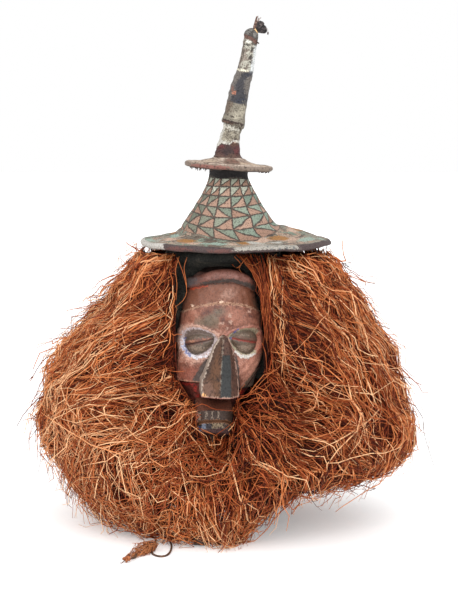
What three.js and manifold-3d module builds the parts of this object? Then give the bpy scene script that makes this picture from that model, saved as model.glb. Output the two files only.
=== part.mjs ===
// A helmet mask with a carved face, a cloth hood, a tall painted hat and a raffia collar.
// Units are millimetres. +Z is up, the face looks along -Y, and the mask stands on Z = 0.
// The origin lies on the floor, below the middle of the raffia.
import * as THREE from "three";
import { mergeVertices } from "three/addons/utils/BufferGeometryUtils.js";
import Module from "manifold-3d";

const wasm = await Module();
wasm.setup();

// Driving dimensions of the whole mask
const GAP = 0.35; // clearance between pieces that touch
const HANK_COUNT = 8; // hanks in each of the two raffia layers
const HANK_GAP = THREE.MathUtils.degToRad(0.4); // kept free at each side of a hank

// Carved face: its axis stands behind the middle of the face at eye level
const FACE_AXIS = new THREE.Vector3(-7, -40, 265);
const FACE_YAW = THREE.MathUtils.degToRad(4); // the face looks a little to its left
const CHIN_SWAY = 0.15; // how far the carving leans aside for each millimetre below the eyes
// Hollow behind the face: its three radii, and its centre behind and above the face axis
const CAVITY = { across: 50, deep: 46, tall: 101, behind: 1, above: 6 };

// Handle: from inside the chin down to the floor, where its flat end rests
const HANDLE_TOP = new THREE.Vector3(-20, -88, 158);
const HANDLE_END = new THREE.Vector3(-34, -149, 0);
const HANDLE_TOP_RADIUS = 13;
const HANDLE_END_RADIUS = 9.5;
const HANDLE_CLEARANCE = 1.5;

// Hood: an oval cap, seen from above
const HOOD = { x: -3, y: 20, across: 85, deep: 98 };
const HOOD_WALL = 6;
const HOOD_BOTTOM = 214;
const HOOD_TOP = 403.5;
const HOOD_FRONT_EDGE = -36; // where the cloth stops behind the rim of the face
const HOOD_VISOR = 387.5; // above this the cloth runs forward over the headband
// Crown of the hood: share of the full width, and depth below its flat top
const HOOD_CROWN = [
  [1, 9],
  [0.95, 3.5],
  [0.82, 0],
];

// Hat: brim, cone and neck
const RIM_RADIUS = 137.5;
const RIM_BOTTOM = 404.5;
const RIM_TOP = 414.5;
const BRIM_X = 16; // middle of the brim
const CONE_X = 6; // middle of the cone's foot
const NECK_X = 3.6; // middle of the neck
const CONE_RADIUS = 71;
const NECK_RADIUS = 28;
const NECK_TOP = 515.6;
const CROWN_INSIDE = 503; // top of the hollow in the cone
const HAT_WALL = 5;
const BRIM_LIFT = 4; // height of the buckle in the brim at its right side

// Upper disc, tilted down towards +X
const DISC_CENTRE = new THREE.Vector3(5, 0, 520);
const DISC_TILT = THREE.MathUtils.degToRad(3.9);
const DISC_RADIUS = 63.5;
const DISC_HALF = 4; // half the thickness at the rim
const DISC_RISE = 12.5; // top of the disc's boss above its middle plane

// Raffia: the mass seen from above is an oval blend of four outlines, each given as
// distance from the middle and height, from the foot on the floor to the edge of the brim
const RAFFIA = {
  right: [
    [108, 0],
    [160, 20],
    [236, 62],
    [284, 108],
    [279, 155],
    [256, 212],
    [234, 270],
    [188, 340],
    [142, 401],
  ],
  back: [
    [152, 0],
    [182, 18],
    [216, 60],
    [230, 110],
    [230, 158],
    [218, 216],
    [200, 276],
    [172, 340],
    [145, 401],
  ],
  left: [
    [150, 0],
    [207, 20],
    [241, 76],
    [280, 128],
    [283, 172],
    [264, 226],
    [232, 284],
    [176, 342],
    [131, 401],
  ],
  front: [
    [138, 0],
    [172, 16],
    [204, 48],
    [226, 92],
    [224, 132],
    [205, 190],
    [182, 262],
    [152, 332],
    [128, 401],
  ],
};
const STATIONS = RAFFIA.right.length - 1;
const RIDGE = 3; // how far the bound locks of a hank stand proud
const OPENING_MIDDLE = THREE.MathUtils.degToRad(-93); // direction of the face opening
const OPENING_HALF = THREE.MathUtils.degToRad(36);
const CHIN_MIDDLE = THREE.MathUtils.degToRad(-97); // direction of the chin
const CHIN_SHELF = 138; // height of the raffia just below the chin
const INNER_SEAM = 252; // height where the two layers meet at the hood
const CHEEK_EDGE = 215; // the upper layer closes in on the mouth below this height
const CLOSE_RIGHT = THREE.MathUtils.degToRad(-18);
const CLOSE_LEFT = THREE.MathUtils.degToRad(9);
const SEAM_GAP = { station: 0.1, height: 4 }; // each layer keeps this far from the seam
// Station of the seam on the outside: under the chin, beside the face, and how much higher
// it runs at the left and at the back
const SEAM = { chin: 2.5, cheek: 3.5, left: 1.2, back: 0.4 };
const HEAD_ROOM = { across: 66, deep: 72, clear: 2.5 }; // oval kept free behind the face

// Vine tie at the lower left, lying on the floor
const VINE_RADIUS = 1.5;
const VINE_ROUTE = [
  [-97, -121],
  [-97, -133],
  [-98, -146],
  [-99.5, -161],
  [-100.5, -176],
  [-100, -190],
  [-97, -203],
  [-91.5, -212],
  [-85, -214.5],
  [-79, -209],
  [-75.5, -197],
  [-74, -183],
  [-73.5, -168],
  [-74, -153],
  [-75, -142],
  [-76.5, -133],
];

const paint = (color, roughness) =>
  new THREE.MeshStandardMaterial({ color, roughness, metalness: 0 });
const MATERIALS = {
  wood: paint(0x7d4a38, 0.55),
  cloth: paint(0x1f211d, 0.9),
  hat: paint(0xa9b79c, 0.8),
  disc: paint(0xb29a86, 0.8),
  foot: paint(0x8c7d6c, 0.85),
  sleeve: paint(0x77726a, 0.85),
  tuft: paint(0x3a322f, 0.9),
  cord: paint(0xc39a56, 0.7),
  fringe: paint(0xb5622f, 0.75),
  collar: paint(0x9c4d25, 0.8),
  vine: paint(0x4a2f22, 0.7),
};

const mask = new THREE.Group();

/** Adds one named piece to the mask. */
function add(name, geometry, material) {
  geometry.computeVertexNormals();
  const mesh = new THREE.Mesh(geometry, material);
  mesh.name = name;
  mask.add(mesh);
  return mesh;
}

/** Eases from 0 at low to 1 at high. */
const ease = (value, low, high) => THREE.MathUtils.smoothstep(value, low, high);

/** Reads a value from rising pairs of place and value, along straight lines. */
function between(pairs, place) {
  const next = pairs.findIndex((pair) => pair[0] >= place);
  if (next === 0) return pairs[0][1];
  if (next < 0) return pairs[pairs.length - 1][1];
  const [a, va] = pairs[next - 1];
  const [b, vb] = pairs[next];
  return va + ((vb - va) * (place - a)) / (b - a);
}

/** Turns a closed geometry the right way out, judged by the sign of its volume. */
function outward(geometry) {
  const closed = geometry.clone();
  closed.deleteAttribute("normal");
  closed.deleteAttribute("uv");
  const merged = mergeVertices(closed, 1e-4);
  const point = merged.getAttribute("position");
  const index = Array.from(merged.getIndex().array);
  const kept = [];
  const [a, b, c] = [new THREE.Vector3(), new THREE.Vector3(), new THREE.Vector3()];
  let volume = 0;
  for (let i = 0; i < index.length; i += 3) {
    const [p, q, r] = index.slice(i, i + 3);
    if (p === q || q === r || r === p) continue;
    kept.push([p, q, r]);
    a.fromBufferAttribute(point, p);
    b.fromBufferAttribute(point, q);
    c.fromBufferAttribute(point, r);
    volume += a.dot(b.cross(c));
  }
  merged.setIndex(kept.flatMap((f) => (volume < 0 ? f.reverse() : f)));
  return merged;
}

/** Closes a stack of rings into one body. The ends are filled as seen through flatten. */
function skin(rings, flatten = (p) => new THREE.Vector2(p.x, p.y)) {
  const count = rings[0].length;
  const index = [];
  for (let i = 0; i + 1 < rings.length; i += 1) {
    for (let j = 0; j < count; j += 1) {
      const a = i * count + j;
      const b = i * count + ((j + 1) % count);
      index.push(a, b, b + count, a, b + count, a + count);
    }
  }
  const fill = (ring, offset, forwards) => {
    const outline = ring.map(flatten);
    const area = THREE.ShapeUtils.area(outline);
    for (const face of THREE.ShapeUtils.triangulateShape(outline, [])) {
      const follows = THREE.ShapeUtils.area(face.map((corner) => outline[corner])) * area > 0;
      const corners = face.map((corner) => corner + offset);
      index.push(...(follows === forwards ? corners : corners.reverse()));
    }
  };
  fill(rings[0], 0, false);
  fill(rings[rings.length - 1], (rings.length - 1) * count, true);
  const geometry = new THREE.BufferGeometry().setFromPoints(rings.flat());
  geometry.setIndex(index);
  return outward(geometry);
}

/** A body turned about the Z axis from pairs of radius and height. */
function turned(profile, segments) {
  const points = profile.map(([radius, height]) => new THREE.Vector2(radius, height));
  return outward(new THREE.LatheGeometry(points, segments).rotateX(Math.PI / 2));
}

/** Moves every point of a geometry by a function of the point. */
function reshape(geometry, move) {
  const point = geometry.getAttribute("position");
  const p = new THREE.Vector3();
  for (let i = 0; i < point.count; i += 1) {
    p.fromBufferAttribute(point, i);
    move(p);
    point.setXYZ(i, p.x, p.y, p.z);
  }
  return geometry;
}

/** A closed geometry as a solid that can be cut and joined. */
function solid(geometry) {
  const merged = outward(geometry);
  return new wasm.Manifold(
    new wasm.Mesh({
      numProp: 3,
      vertProperties: merged.getAttribute("position").array,
      triVerts: new Uint32Array(merged.getIndex().array),
    }),
  );
}

/** A cut or joined solid as a geometry again. */
function geometryOf(body) {
  const mesh = body.getMesh();
  const geometry = new THREE.BufferGeometry();
  geometry.setAttribute("position", new THREE.BufferAttribute(mesh.vertProperties, 3));
  geometry.setIndex(new THREE.BufferAttribute(mesh.triVerts, 1));
  return geometry;
}

/** A level oval ring of points. */
function oval(cx, cy, across, deep, z, sides) {
  return Array.from({ length: sides }, (_, i) => {
    const turn = (2 * Math.PI * i) / sides;
    return new THREE.Vector3(cx + across * Math.cos(turn), cy + deep * Math.sin(turn), z);
  });
}

/** A round bar in the XZ plane: stations give x, z, radius and lean from upright in degrees. */
function leaningBar(stations, sides) {
  return skin(
    stations.map(([x, z, radius, lean]) => {
      const angle = THREE.MathUtils.degToRad(lean);
      return Array.from({ length: sides }, (_, i) => {
        const turn = (2 * Math.PI * i) / sides;
        const side = radius * Math.cos(turn);
        return new THREE.Vector3(
          x + side * Math.cos(angle),
          radius * Math.sin(turn),
          z - side * Math.sin(angle),
        );
      });
    }),
  );
}

/** A round tube along a smooth curve through the points. */
function tube(points, radius, sides, steps) {
  const path = new THREE.CatmullRomCurve3(points);
  const section = new THREE.Shape().absarc(0, 0, radius, 0, 2 * Math.PI, false);
  return new THREE.ExtrudeGeometry(section, {
    steps,
    extrudePath: path,
    curveSegments: sides / 2,
  });
}

/** Distance from the origin to an oval's edge in a direction, for an origin inside the oval. */
function reach(direction, cx, cy, across, deep) {
  const [ux, uy] = [Math.cos(direction) / across, Math.sin(direction) / deep];
  const [px, py] = [cx / across, cy / deep];
  const a = ux * ux + uy * uy;
  const b = ux * px + uy * py;
  return (b + Math.sqrt(b * b - a * (px * px + py * py - 1))) / a;
}

// Carved face
// Rows run from the chin up. Each gives the half-width and the depth of the oval section, and
// the sink of its ends below its middle, which makes the ridges of the forehead arch.
const FACE_ROWS = {
  halfWidth: [
    [-119, 22],
    [-108, 28],
    [-90, 33],
    [-72, 40],
    [-58, 50],
    [-46.5, 56],
    [-44, 61],
    [-20, 63],
    [8, 62],
    [45, 60],
    [66, 58],
    [68.5, 55.5],
    [95, 47],
    [97, 50],
    [103, 51.5],
    [110, 51],
    [115, 48.5],
    [118, 44],
  ],
  depth: [
    [-119, 36],
    [-90, 46],
    [-58, 52],
    [-46.5, 54],
    [-44, 61],
    [8, 58],
    [45, 65],
    [66, 64],
    [68.5, 59],
    [95, 57],
    [97, 62],
    [103, 66],
    [110, 65],
    [115, 62],
    [118, 57],
  ],
  arch: [
    [0, 0],
    [68, 17],
    [95, 11],
    [118, 19],
  ],
};
const FACE_LEVELS = [
  -119, -106, -92, -76, -58, -46.5, -44, -28, -10, 8, 27, 47, 66, 68.5, 82, 95, 97, 103, 110,
  115, 118,
];
const FACE_COLUMNS = 22;

// Nose: a wedge that widens and stands out more towards its flat lower end. Each section
// gives its height, half-width, half-width of the front ridge, sideways shift of the ridge,
// and how far the ridge and the edges beside it stand out of the face axis.
const NOSE_SECTIONS = [
  { up: 24, half: 4, ridge: 1.5, aside: 0, out: 60, edge: 59 },
  { up: 18, half: 6, ridge: 2, aside: 0.5, out: 67, edge: 65 },
  { up: -57, half: 25, ridge: 8, aside: 6, out: 122, edge: 106 },
];
const NOSE_ROOT = 40; // where the wedge ends inside the wood
const NOSE_EDGE = { inwards: 1.5, back: 3 }; // the small bevel along each side edge

// Eyes: bulging lids in sunk sockets, turned to each side of the face axis
const EYES = [
  { turn: THREE.MathUtils.degToRad(-33), up: 13 },
  { turn: THREE.MathUtils.degToRad(33), up: 15 },
];
const SOCKET = { across: 27, tall: 22, deep: 6.5, out: 60.5 };
const LID = { across: 22.5, tall: 17.5, deep: 9, out: 54.5 };

// Mouth: a block with two rows of teeth and a gap between them, from the chin up
const MOUTH_SECTIONS = [
  { up: -119, half: 20, out: 66 },
  { up: -111, half: 25, out: 83 },
  { up: -105, half: 26, out: 87 },
  { up: -95, half: 27, out: 89 },
  { up: -94, half: 25, out: 83 },
  { up: -93, half: 27, out: 89 },
  { up: -79, half: 27, out: 87 },
  { up: -72, half: 25, out: 74 },
  { up: -68, half: 23, out: 60 },
];
const MOUTH_ROOT = 28; // where the block ends inside the wood
const MOUTH_ROUND = 9; // how far its sides fall back behind its middle

/** How far the carving leans aside at a height. */
const sway = (w) => CHIN_SWAY * Math.min(w, 0);

/** Puts a point given across, up and out of the face into the mask's own frame. */
function onFace(across, up, out) {
  return new THREE.Vector3(
    across * Math.cos(FACE_YAW) + out * Math.sin(FACE_YAW),
    across * Math.sin(FACE_YAW) - out * Math.cos(FACE_YAW),
    up,
  ).add(FACE_AXIS);
}

function faceRing(level) {
  const halfWidth = between(FACE_ROWS.halfWidth, level);
  const depth = between(FACE_ROWS.depth, level);
  const arch = between(FACE_ROWS.arch, level);
  return Array.from({ length: FACE_COLUMNS + 1 }, (_, i) => {
    const turn = Math.PI * (i / FACE_COLUMNS - 0.5);
    const w = level - arch * Math.sin(turn) ** 2;
    return onFace(sway(level) + halfWidth * Math.sin(turn), w, depth * Math.cos(turn));
  });
}

function noseWedge() {
  const ring = ({ up, half, ridge, aside, out, edge }) =>
    [
      [-half, NOSE_ROOT],
      [-half, edge - NOSE_EDGE.back],
      [-half + NOSE_EDGE.inwards, edge],
      [aside - ridge, out],
      [aside + ridge, out],
      [half - NOSE_EDGE.inwards, edge],
      [half, edge - NOSE_EDGE.back],
      [half, NOSE_ROOT],
    ].map(([u, d]) => onFace(sway(up) + u, up, d));
  return skin(NOSE_SECTIONS.map(ring));
}

function mouthBlock() {
  const columns = 8;
  const ring = ({ up, half, out }) => [
    onFace(sway(up) - half, up, MOUTH_ROOT),
    ...Array.from({ length: columns + 1 }, (_, i) => {
      const part = (2 * i) / columns - 1;
      return onFace(sway(up) + half * part, up, out - MOUTH_ROUND * part ** 4);
    }),
    onFace(sway(up) + half, up, MOUTH_ROOT),
  ];
  return skin(MOUTH_SECTIONS.map(ring));
}

/** The handle as a bar, wider by the given amount and longer at both ends if it is a cutter. */
function handleBar(extra, overrun) {
  const axis = HANDLE_TOP.clone().sub(HANDLE_END);
  const ringAt = (t) => {
    const c = HANDLE_END.clone().addScaledVector(axis, t);
    const radius = THREE.MathUtils.lerp(HANDLE_END_RADIUS, HANDLE_TOP_RADIUS, t) + extra;
    return oval(c.x, c.y, radius, radius, c.z, 14);
  };
  return skin([ringAt(-overrun), ringAt(0.5), ringAt(1 + overrun)]);
}

/** An oval swelling centred on the front of the face at an eye. */
function eyeOval({ turn, up }, { across, tall, deep, out }) {
  const centre = onFace(out * Math.sin(turn), up, out * Math.cos(turn));
  return new THREE.SphereGeometry(1, 16, 8)
    .scale(across, deep, tall)
    .rotateZ(FACE_YAW + turn)
    .translate(centre.x, centre.y, centre.z);
}

function carvedFace() {
  const front = solid(skin(FACE_LEVELS.map(faceRing)));
  const hollow = new THREE.SphereGeometry(1, 16, 10)
    .scale(CAVITY.across, CAVITY.deep, CAVITY.tall)
    .rotateZ(FACE_YAW)
    .translate(FACE_AXIS.x, FACE_AXIS.y + CAVITY.behind, FACE_AXIS.z + CAVITY.above);
  const sockets = EYES.map((eye) => solid(eyeOval(eye, SOCKET)));
  const sunk = sockets.reduce((body, socket) => body.subtract(socket), front);
  const lids = EYES.map((eye) => eyeOval(eye, LID));
  const carving = [...lids, noseWedge(), mouthBlock(), handleBar(0, 0)];
  const whole = carving.reduce((body, shape) => body.add(solid(shape)), sunk);
  return geometryOf(whole.subtract(solid(hollow)));
}

// Hood
function hood() {
  const sides = 28;
  const ring = (wall, part, z) =>
    oval(HOOD.x, HOOD.y, (HOOD.across - wall) * part, (HOOD.deep - wall) * part, z, sides);
  const dome = (wall, bottom, top) =>
    skin([
      ring(wall, 1, bottom),
      ...HOOD_CROWN.map(([part, below]) => ring(wall, part, top - below)),
    ]);
  const notch = new THREE.BoxGeometry(4 * HOOD.across, 2 * HOOD.deep, HOOD_VISOR).translate(
    HOOD.x,
    HOOD_FRONT_EDGE - HOOD.deep,
    HOOD_VISOR / 2,
  );
  const shell = solid(dome(0, HOOD_BOTTOM, HOOD_TOP)).subtract(
    solid(dome(HOOD_WALL, HOOD_BOTTOM - 10, HOOD_TOP - HOOD_WALL)),
  );
  return geometryOf(shell.subtract(solid(notch)));
}

// Hat
// The profile runs up the outside from the rim to the neck, then back down the inside.
const HAT_OUTSIDE = [
  [RIM_RADIUS - 4, RIM_BOTTOM],
  [RIM_RADIUS, RIM_BOTTOM + 2.6],
  [RIM_RADIUS, RIM_TOP - 3],
  [RIM_RADIUS - 4, RIM_TOP],
  [108, RIM_TOP + 2.2],
  [92, RIM_TOP + 5],
  [80, RIM_TOP + 9.5],
  [CONE_RADIUS, 430.6],
  [62.6, 442.2],
  [55.5, 453.7],
  [47.5, 465.3],
  [40.8, 476.8],
  [34.8, 488.3],
  [30, 499.8],
  [NECK_RADIUS, 508],
  [NECK_RADIUS, NECK_TOP],
];
const HAT_INSIDE = [
  [NECK_RADIUS - HAT_WALL - 2, 502],
  [34.8 - HAT_WALL, 486],
  [47.5 - HAT_WALL, 462],
  [62.6 - HAT_WALL, 438],
  [CONE_RADIUS - HAT_WALL, 426],
  [84, 418],
  [104, RIM_TOP - 3],
  [RIM_RADIUS - 12, RIM_TOP - 6],
];

/** 1 on the buckle at the right side of the brim, 0 away from it. */
function buckle(p) {
  const outwards = ease(p.x, 55, 80) * (1 - ease(p.x, 95, 125));
  return outwards * (1 - ease(p.z, 440, 460));
}

/** The middle of the hat at a height: the brim sits further right than the cone. */
function hatMiddle(z) {
  const lean = THREE.MathUtils.lerp(CONE_X, NECK_X, ease(z, 436, 500));
  return THREE.MathUtils.lerp(BRIM_X, lean, ease(z, RIM_TOP, 436));
}

function hat() {
  const profile = [
    [0, NECK_TOP],
    ...HAT_OUTSIDE.toReversed(),
    ...HAT_INSIDE.toReversed(),
    [0, CROWN_INSIDE],
  ];
  return reshape(turned(profile, 32), (p) => {
    const tilted = ease(p.z, 496, 508);
    const drop = tilted * Math.tan(DISC_TILT) * (p.x + NECK_X - DISC_CENTRE.x);
    p.z += BRIM_LIFT * buckle(p) - drop;
    p.x += hatMiddle(p.z);
  });
}

// Upper disc
// Radius and height above the disc's middle plane, from the underside to the boss on top
const DISC_PROFILE = [
  [0, -DISC_HALF],
  [DISC_RADIUS - 7, -DISC_HALF],
  [DISC_RADIUS - 2, -DISC_HALF + 1],
  [DISC_RADIUS, 0],
  [DISC_RADIUS - 2, DISC_HALF - 0.8],
  [DISC_RADIUS - 7, DISC_HALF],
  [42, 5],
  [27, 8.5],
  [21.5, DISC_RISE],
  [0, DISC_RISE],
];

// Spire: pairs of places along the sleeve, in x, z, radius and lean
const SPIRE_FOOT = [
  [3.9, DISC_CENTRE.z + DISC_RISE + 0.55, 19.4, 3.9],
  [4.3, 541, 17.6, 5],
  [5.1, 549, 16.3, 8],
  [5.8, 552, 15, 9],
  [8.5, 566, 14.5, 11],
  [11, 579, 14.2, 12],
];
const SPIRE_SLEEVE = [
  [11.1, 579.5, 14.6, 12],
  [12, 584, 16.4, 12],
  [13, 589, 16.2, 12],
  [16, 603.5, 15.4, 13],
  [20.8, 628, 14.2, 15],
  [24.6, 642, 13, 16],
  [28.8, 655, 11.9, 14],
  [32.2, 672, 10.7, 11],
  [35.2, 690, 9.8, 9],
  [36.7, 699, 9.9, 8],
  [37.4, 706, 10, 4],
  [36.9, 711, 8.7, -4],
  [36.5, 714.4, 5.6, -8],
  [36.4, 716, 2, -10],
];

// Tuft of cloth at the tip, in line with a neck that leaves the cap's right shoulder
const TUFT_LEAN = 43;
const TUFT_START = new THREE.Vector2(44.5, 714.5);
const TUFT_STATIONS = [
  [0, 3.2],
  [2.4, 3.2],
  [5, 6.4],
  [9, 8.8],
  [13, 7.8],
  [15.5, 4.5],
];
const TWIST = [
  [46.5, 0.5, 719],
  [44.2, 0, 724],
  [44.6, -0.5, 729],
  [47.5, 0, 733],
];
const TWIST_RADIUS = 2;

// Yellow cord round the neck of the tuft: pairs of distance from its skin and height
const CORD_PLACE = 1.3; // middle of the turns along the tuft
const CORD_PROFILE = [
  [GAP, -1],
  [2.2, -1],
  [2.7, 0],
  [2.2, 1],
  [GAP, 1],
  [GAP, -1],
];

function tuftPoint(along) {
  const angle = THREE.MathUtils.degToRad(TUFT_LEAN);
  return [
    TUFT_START.x + along * Math.sin(angle),
    TUFT_START.y + along * Math.cos(angle),
  ];
}

function tuft() {
  const lump = leaningBar(
    TUFT_STATIONS.map(([along, radius]) => [...tuftPoint(along), radius, TUFT_LEAN]),
    12,
  );
  const route = TWIST.map((p) => new THREE.Vector3(...p));
  return geometryOf(solid(lump).add(solid(tube(route, TWIST_RADIUS, 8, 6))));
}

function tipCord() {
  const neck = between(TUFT_STATIONS, CORD_PLACE);
  const ring = CORD_PROFILE.map(([proud, height]) => [neck + proud, height]);
  const [x, z] = tuftPoint(CORD_PLACE);
  const lean = THREE.MathUtils.degToRad(TUFT_LEAN);
  return turned(ring, 16).rotateY(lean).translate(x, 0, z);
}

// Raffia
const OUTLINE_CURVES = Object.fromEntries(
  Object.entries(RAFFIA).map(([side, points]) => [
    side,
    new THREE.CatmullRomCurve3(points.map(([r, z]) => new THREE.Vector3(r, z, 0))),
  ]),
);

/** Shares of the four outlines in a direction. */
function shares(direction) {
  const [c, s] = [Math.cos(direction), Math.sin(direction)];
  return {
    right: Math.max(c, 0) ** 2,
    back: Math.max(s, 0) ** 2,
    left: Math.max(-c, 0) ** 2,
    front: Math.max(-s, 0) ** 2,
  };
}

/** Distance and height of the raffia's outside, at a station from 0 on the floor up. */
function outside(direction, station) {
  const place = new THREE.Vector2();
  for (const [side, share] of Object.entries(shares(direction))) {
    const p = OUTLINE_CURVES[side].getPoint(station / STATIONS);
    place.x += share * p.x;
    place.y += share * p.y;
  }
  return place;
}

/** Distance of the raffia's inside, which clears the hood and the face. */
function inside(direction) {
  const hoodReach = reach(direction, HOOD.x, HOOD.y, HOOD.across, HOOD.deep);
  const { across, deep, clear } = HEAD_ROOM;
  return clear + Math.max(hoodReach, reach(direction, FACE_AXIS.x, FACE_AXIS.y, across, deep));
}

/** 0 in the middle of the face opening, 1 outside it. */
function beside(direction) {
  const around = direction - CHIN_MIDDLE + Math.PI;
  const turn = Math.abs(THREE.MathUtils.euclideanModulo(around, 2 * Math.PI) - Math.PI);
  return ease(turn, 0.4 * OPENING_HALF, OPENING_HALF);
}

/** Station where the two layers meet on the outside. */
function seamStation(direction) {
  const { left, back } = shares(direction);
  const full = SEAM.cheek + SEAM.left * left + SEAM.back * back;
  return THREE.MathUtils.lerp(SEAM.chin, full, beside(direction));
}

/** Height where the two layers meet on the inside. */
const seamHeight = (direction) =>
  THREE.MathUtils.lerp(CHIN_SHELF, INNER_SEAM, beside(direction));

const fringeProfile = (direction, ridge) => {
  const low = seamStation(direction) + SEAM_GAP.station;
  const inner = inside(direction);
  const steps = 9;
  const outer = Array.from({ length: steps + 1 }, (_, i) => {
    const place = outside(direction, THREE.MathUtils.lerp(STATIONS, low, i / steps));
    return new THREE.Vector2(place.x + ridge * ease(i, 0, 4), place.y);
  });
  return [
    new THREE.Vector2(inner, outer[0].y),
    ...outer,
    new THREE.Vector2(inner, seamHeight(direction) + SEAM_GAP.height),
  ];
};

const collarProfile = (direction, ridge) => {
  const top = seamStation(direction) - SEAM_GAP.station;
  const inner = inside(direction);
  const steps = 8;
  const outer = Array.from({ length: steps + 1 }, (_, i) => {
    const place = outside(direction, THREE.MathUtils.lerp(top, 0, i / steps));
    return new THREE.Vector2(place.x + ridge * (1 - ease(i, 6, 8)), place.y);
  });
  return [
    new THREE.Vector2(inner, seamHeight(direction) - SEAM_GAP.height),
    ...outer,
    new THREE.Vector2(inner, 0),
  ];
};

/** How much of its turn a front edge of the upper layer has made at a height. */
const closedIn = (z) => 1 - ease(z, CHIN_SHELF, CHEEK_EDGE);

/**
 * One hank: its profile carried round from one direction to another, ridged by its locks.
 * Below the cheeks its two ends may turn further, by the angles in reachOn.
 */
function hank(profile, from, to, reachOn = [0, 0]) {
  const steps = 8;
  const rings = Array.from({ length: steps + 1 }, (_, i) => {
    const along = i / steps;
    const direction = THREE.MathUtils.lerp(from + HANK_GAP, to - HANK_GAP, along);
    const ridge = i % 2 ? RIDGE : -RIDGE;
    return profile(direction, ridge).map((p) => {
      const turn = direction + closedIn(p.y) * THREE.MathUtils.lerp(...reachOn, along);
      return new THREE.Vector3(p.x * Math.cos(turn), p.x * Math.sin(turn), p.y);
    });
  });
  const flatten = (p) => new THREE.Vector2(Math.hypot(p.x, p.y), p.z);
  return skin(rings, flatten);
}

// Vine tie
const floorPoint = (radius) => ([x, y]) => new THREE.Vector3(x, y, radius);

const BUNDLE_RADIUS = 6;
const BUNDLE_START = new THREE.Vector3(-107, -160, BUNDLE_RADIUS);
const BUNDLE_END = new THREE.Vector3(-128, -199, BUNDLE_RADIUS);
// Pairs of share of its length and share of its full radius: the bundle narrows at its ends
const BUNDLE_STATIONS = [
  [0, 0.6],
  [0.12, 1],
  [0.35, 1],
  [0.65, 1],
  [0.88, 1],
  [1, 0.6],
];
const KNOT_RADIUS = 4.5;
const KNOT_CENTRE = new THREE.Vector3(-131, -245, KNOT_RADIUS);
const STEM_RADIUS = 1.6;
const STEMS = [
  { start: new THREE.Vector3(-125.5, -201.5, KNOT_RADIUS), bow: 4 },
  { start: new THREE.Vector3(-131.5, -201.5, KNOT_RADIUS), bow: -3 },
];

function bundle() {
  const ahead = BUNDLE_END.clone().sub(BUNDLE_START).normalize();
  const aside = new THREE.Vector3(-ahead.y, ahead.x, 0);
  const rings = BUNDLE_STATIONS.map(([along, share]) => {
    const centre = BUNDLE_START.clone().lerp(BUNDLE_END, along);
    const radius = BUNDLE_RADIUS * share;
    return oval(0, 0, radius, radius, 0, 10).map((p) =>
      new THREE.Vector3(0, 0, p.y).addScaledVector(aside, p.x).add(centre),
    );
  });
  return skin(rings, (p) => new THREE.Vector2(p.x * ahead.y - p.y * ahead.x, p.z));
}

function knot() {
  const ball = new THREE.SphereGeometry(KNOT_RADIUS, 10, 8);
  ball.translate(...KNOT_CENTRE.toArray());
  const stems = STEMS.map(({ start, bow }) => {
    const middle = start.clone().lerp(KNOT_CENTRE, 0.5);
    middle.x += bow;
    return tube([start, middle, KNOT_CENTRE], STEM_RADIUS, 8, 6);
  });
  return geometryOf(stems.reduce((body, stem) => body.add(solid(stem)), solid(ball)));
}

// Assembly
add("carved_face", carvedFace(), MATERIALS.wood);
add("hood", hood(), MATERIALS.cloth);
add("hat", hat(), MATERIALS.hat);

const upperDisc = add("upper_disc", turned(DISC_PROFILE, 28), MATERIALS.disc);
upperDisc.position.copy(DISC_CENTRE);
upperDisc.rotation.y = DISC_TILT;

add("spire_foot", leaningBar(SPIRE_FOOT, 16), MATERIALS.foot);
add("spire_sleeve", leaningBar(SPIRE_SLEEVE, 16), MATERIALS.sleeve);
add("tip_tuft", tuft(), MATERIALS.tuft);
add("tip_cord", tipCord(), MATERIALS.cord);

const fringeStart = OPENING_MIDDLE + OPENING_HALF;
const fringeStep = (2 * Math.PI - 2 * OPENING_HALF) / HANK_COUNT;
for (let i = 0; i < HANK_COUNT; i += 1) {
  const from = fringeStart + i * fringeStep;
  const reachOn = [i === 0 ? CLOSE_RIGHT : 0, i === HANK_COUNT - 1 ? CLOSE_LEFT : 0];
  const shape = hank(fringeProfile, from, from + fringeStep, reachOn);
  add(`fringe_hank_${i + 1}`, shape, MATERIALS.fringe);
}

const collarStep = (2 * Math.PI) / HANK_COUNT;
const collarStart = OPENING_MIDDLE - 0.5 * collarStep;
const handleCutter = solid(handleBar(HANDLE_CLEARANCE, 0.2));
for (let i = 0; i < HANK_COUNT; i += 1) {
  const from = collarStart + i * collarStep;
  const whole = solid(hank(collarProfile, from, from + collarStep));
  const shape = geometryOf(i === 0 ? whole.subtract(handleCutter) : whole);
  add(`collar_hank_${i + 1}`, shape, MATERIALS.collar);
}

const vine = tube(VINE_ROUTE.map(floorPoint(VINE_RADIUS)), VINE_RADIUS, 8, 36);
add("tie_cord", vine, MATERIALS.vine);
add("tie_bundle", bundle(), MATERIALS.collar);
add("tie_knot", knot(), MATERIALS.vine);

export default mask;
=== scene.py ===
# %% [markdown]
# # A helmet mask with a raffia collar
# A carved face looks out of a very full collar of raffia. Above it sit a blackened hood, a
# painted hat, a small disc and a leaning spire. The mask stands on its own raffia.
#
# The frame gives every piece its place, so this lesson only makes surfaces and finishes.
# Lengths are written in millimetres, as a carver would measure them, and one function turns
# them into the metres of the scene.

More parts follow.
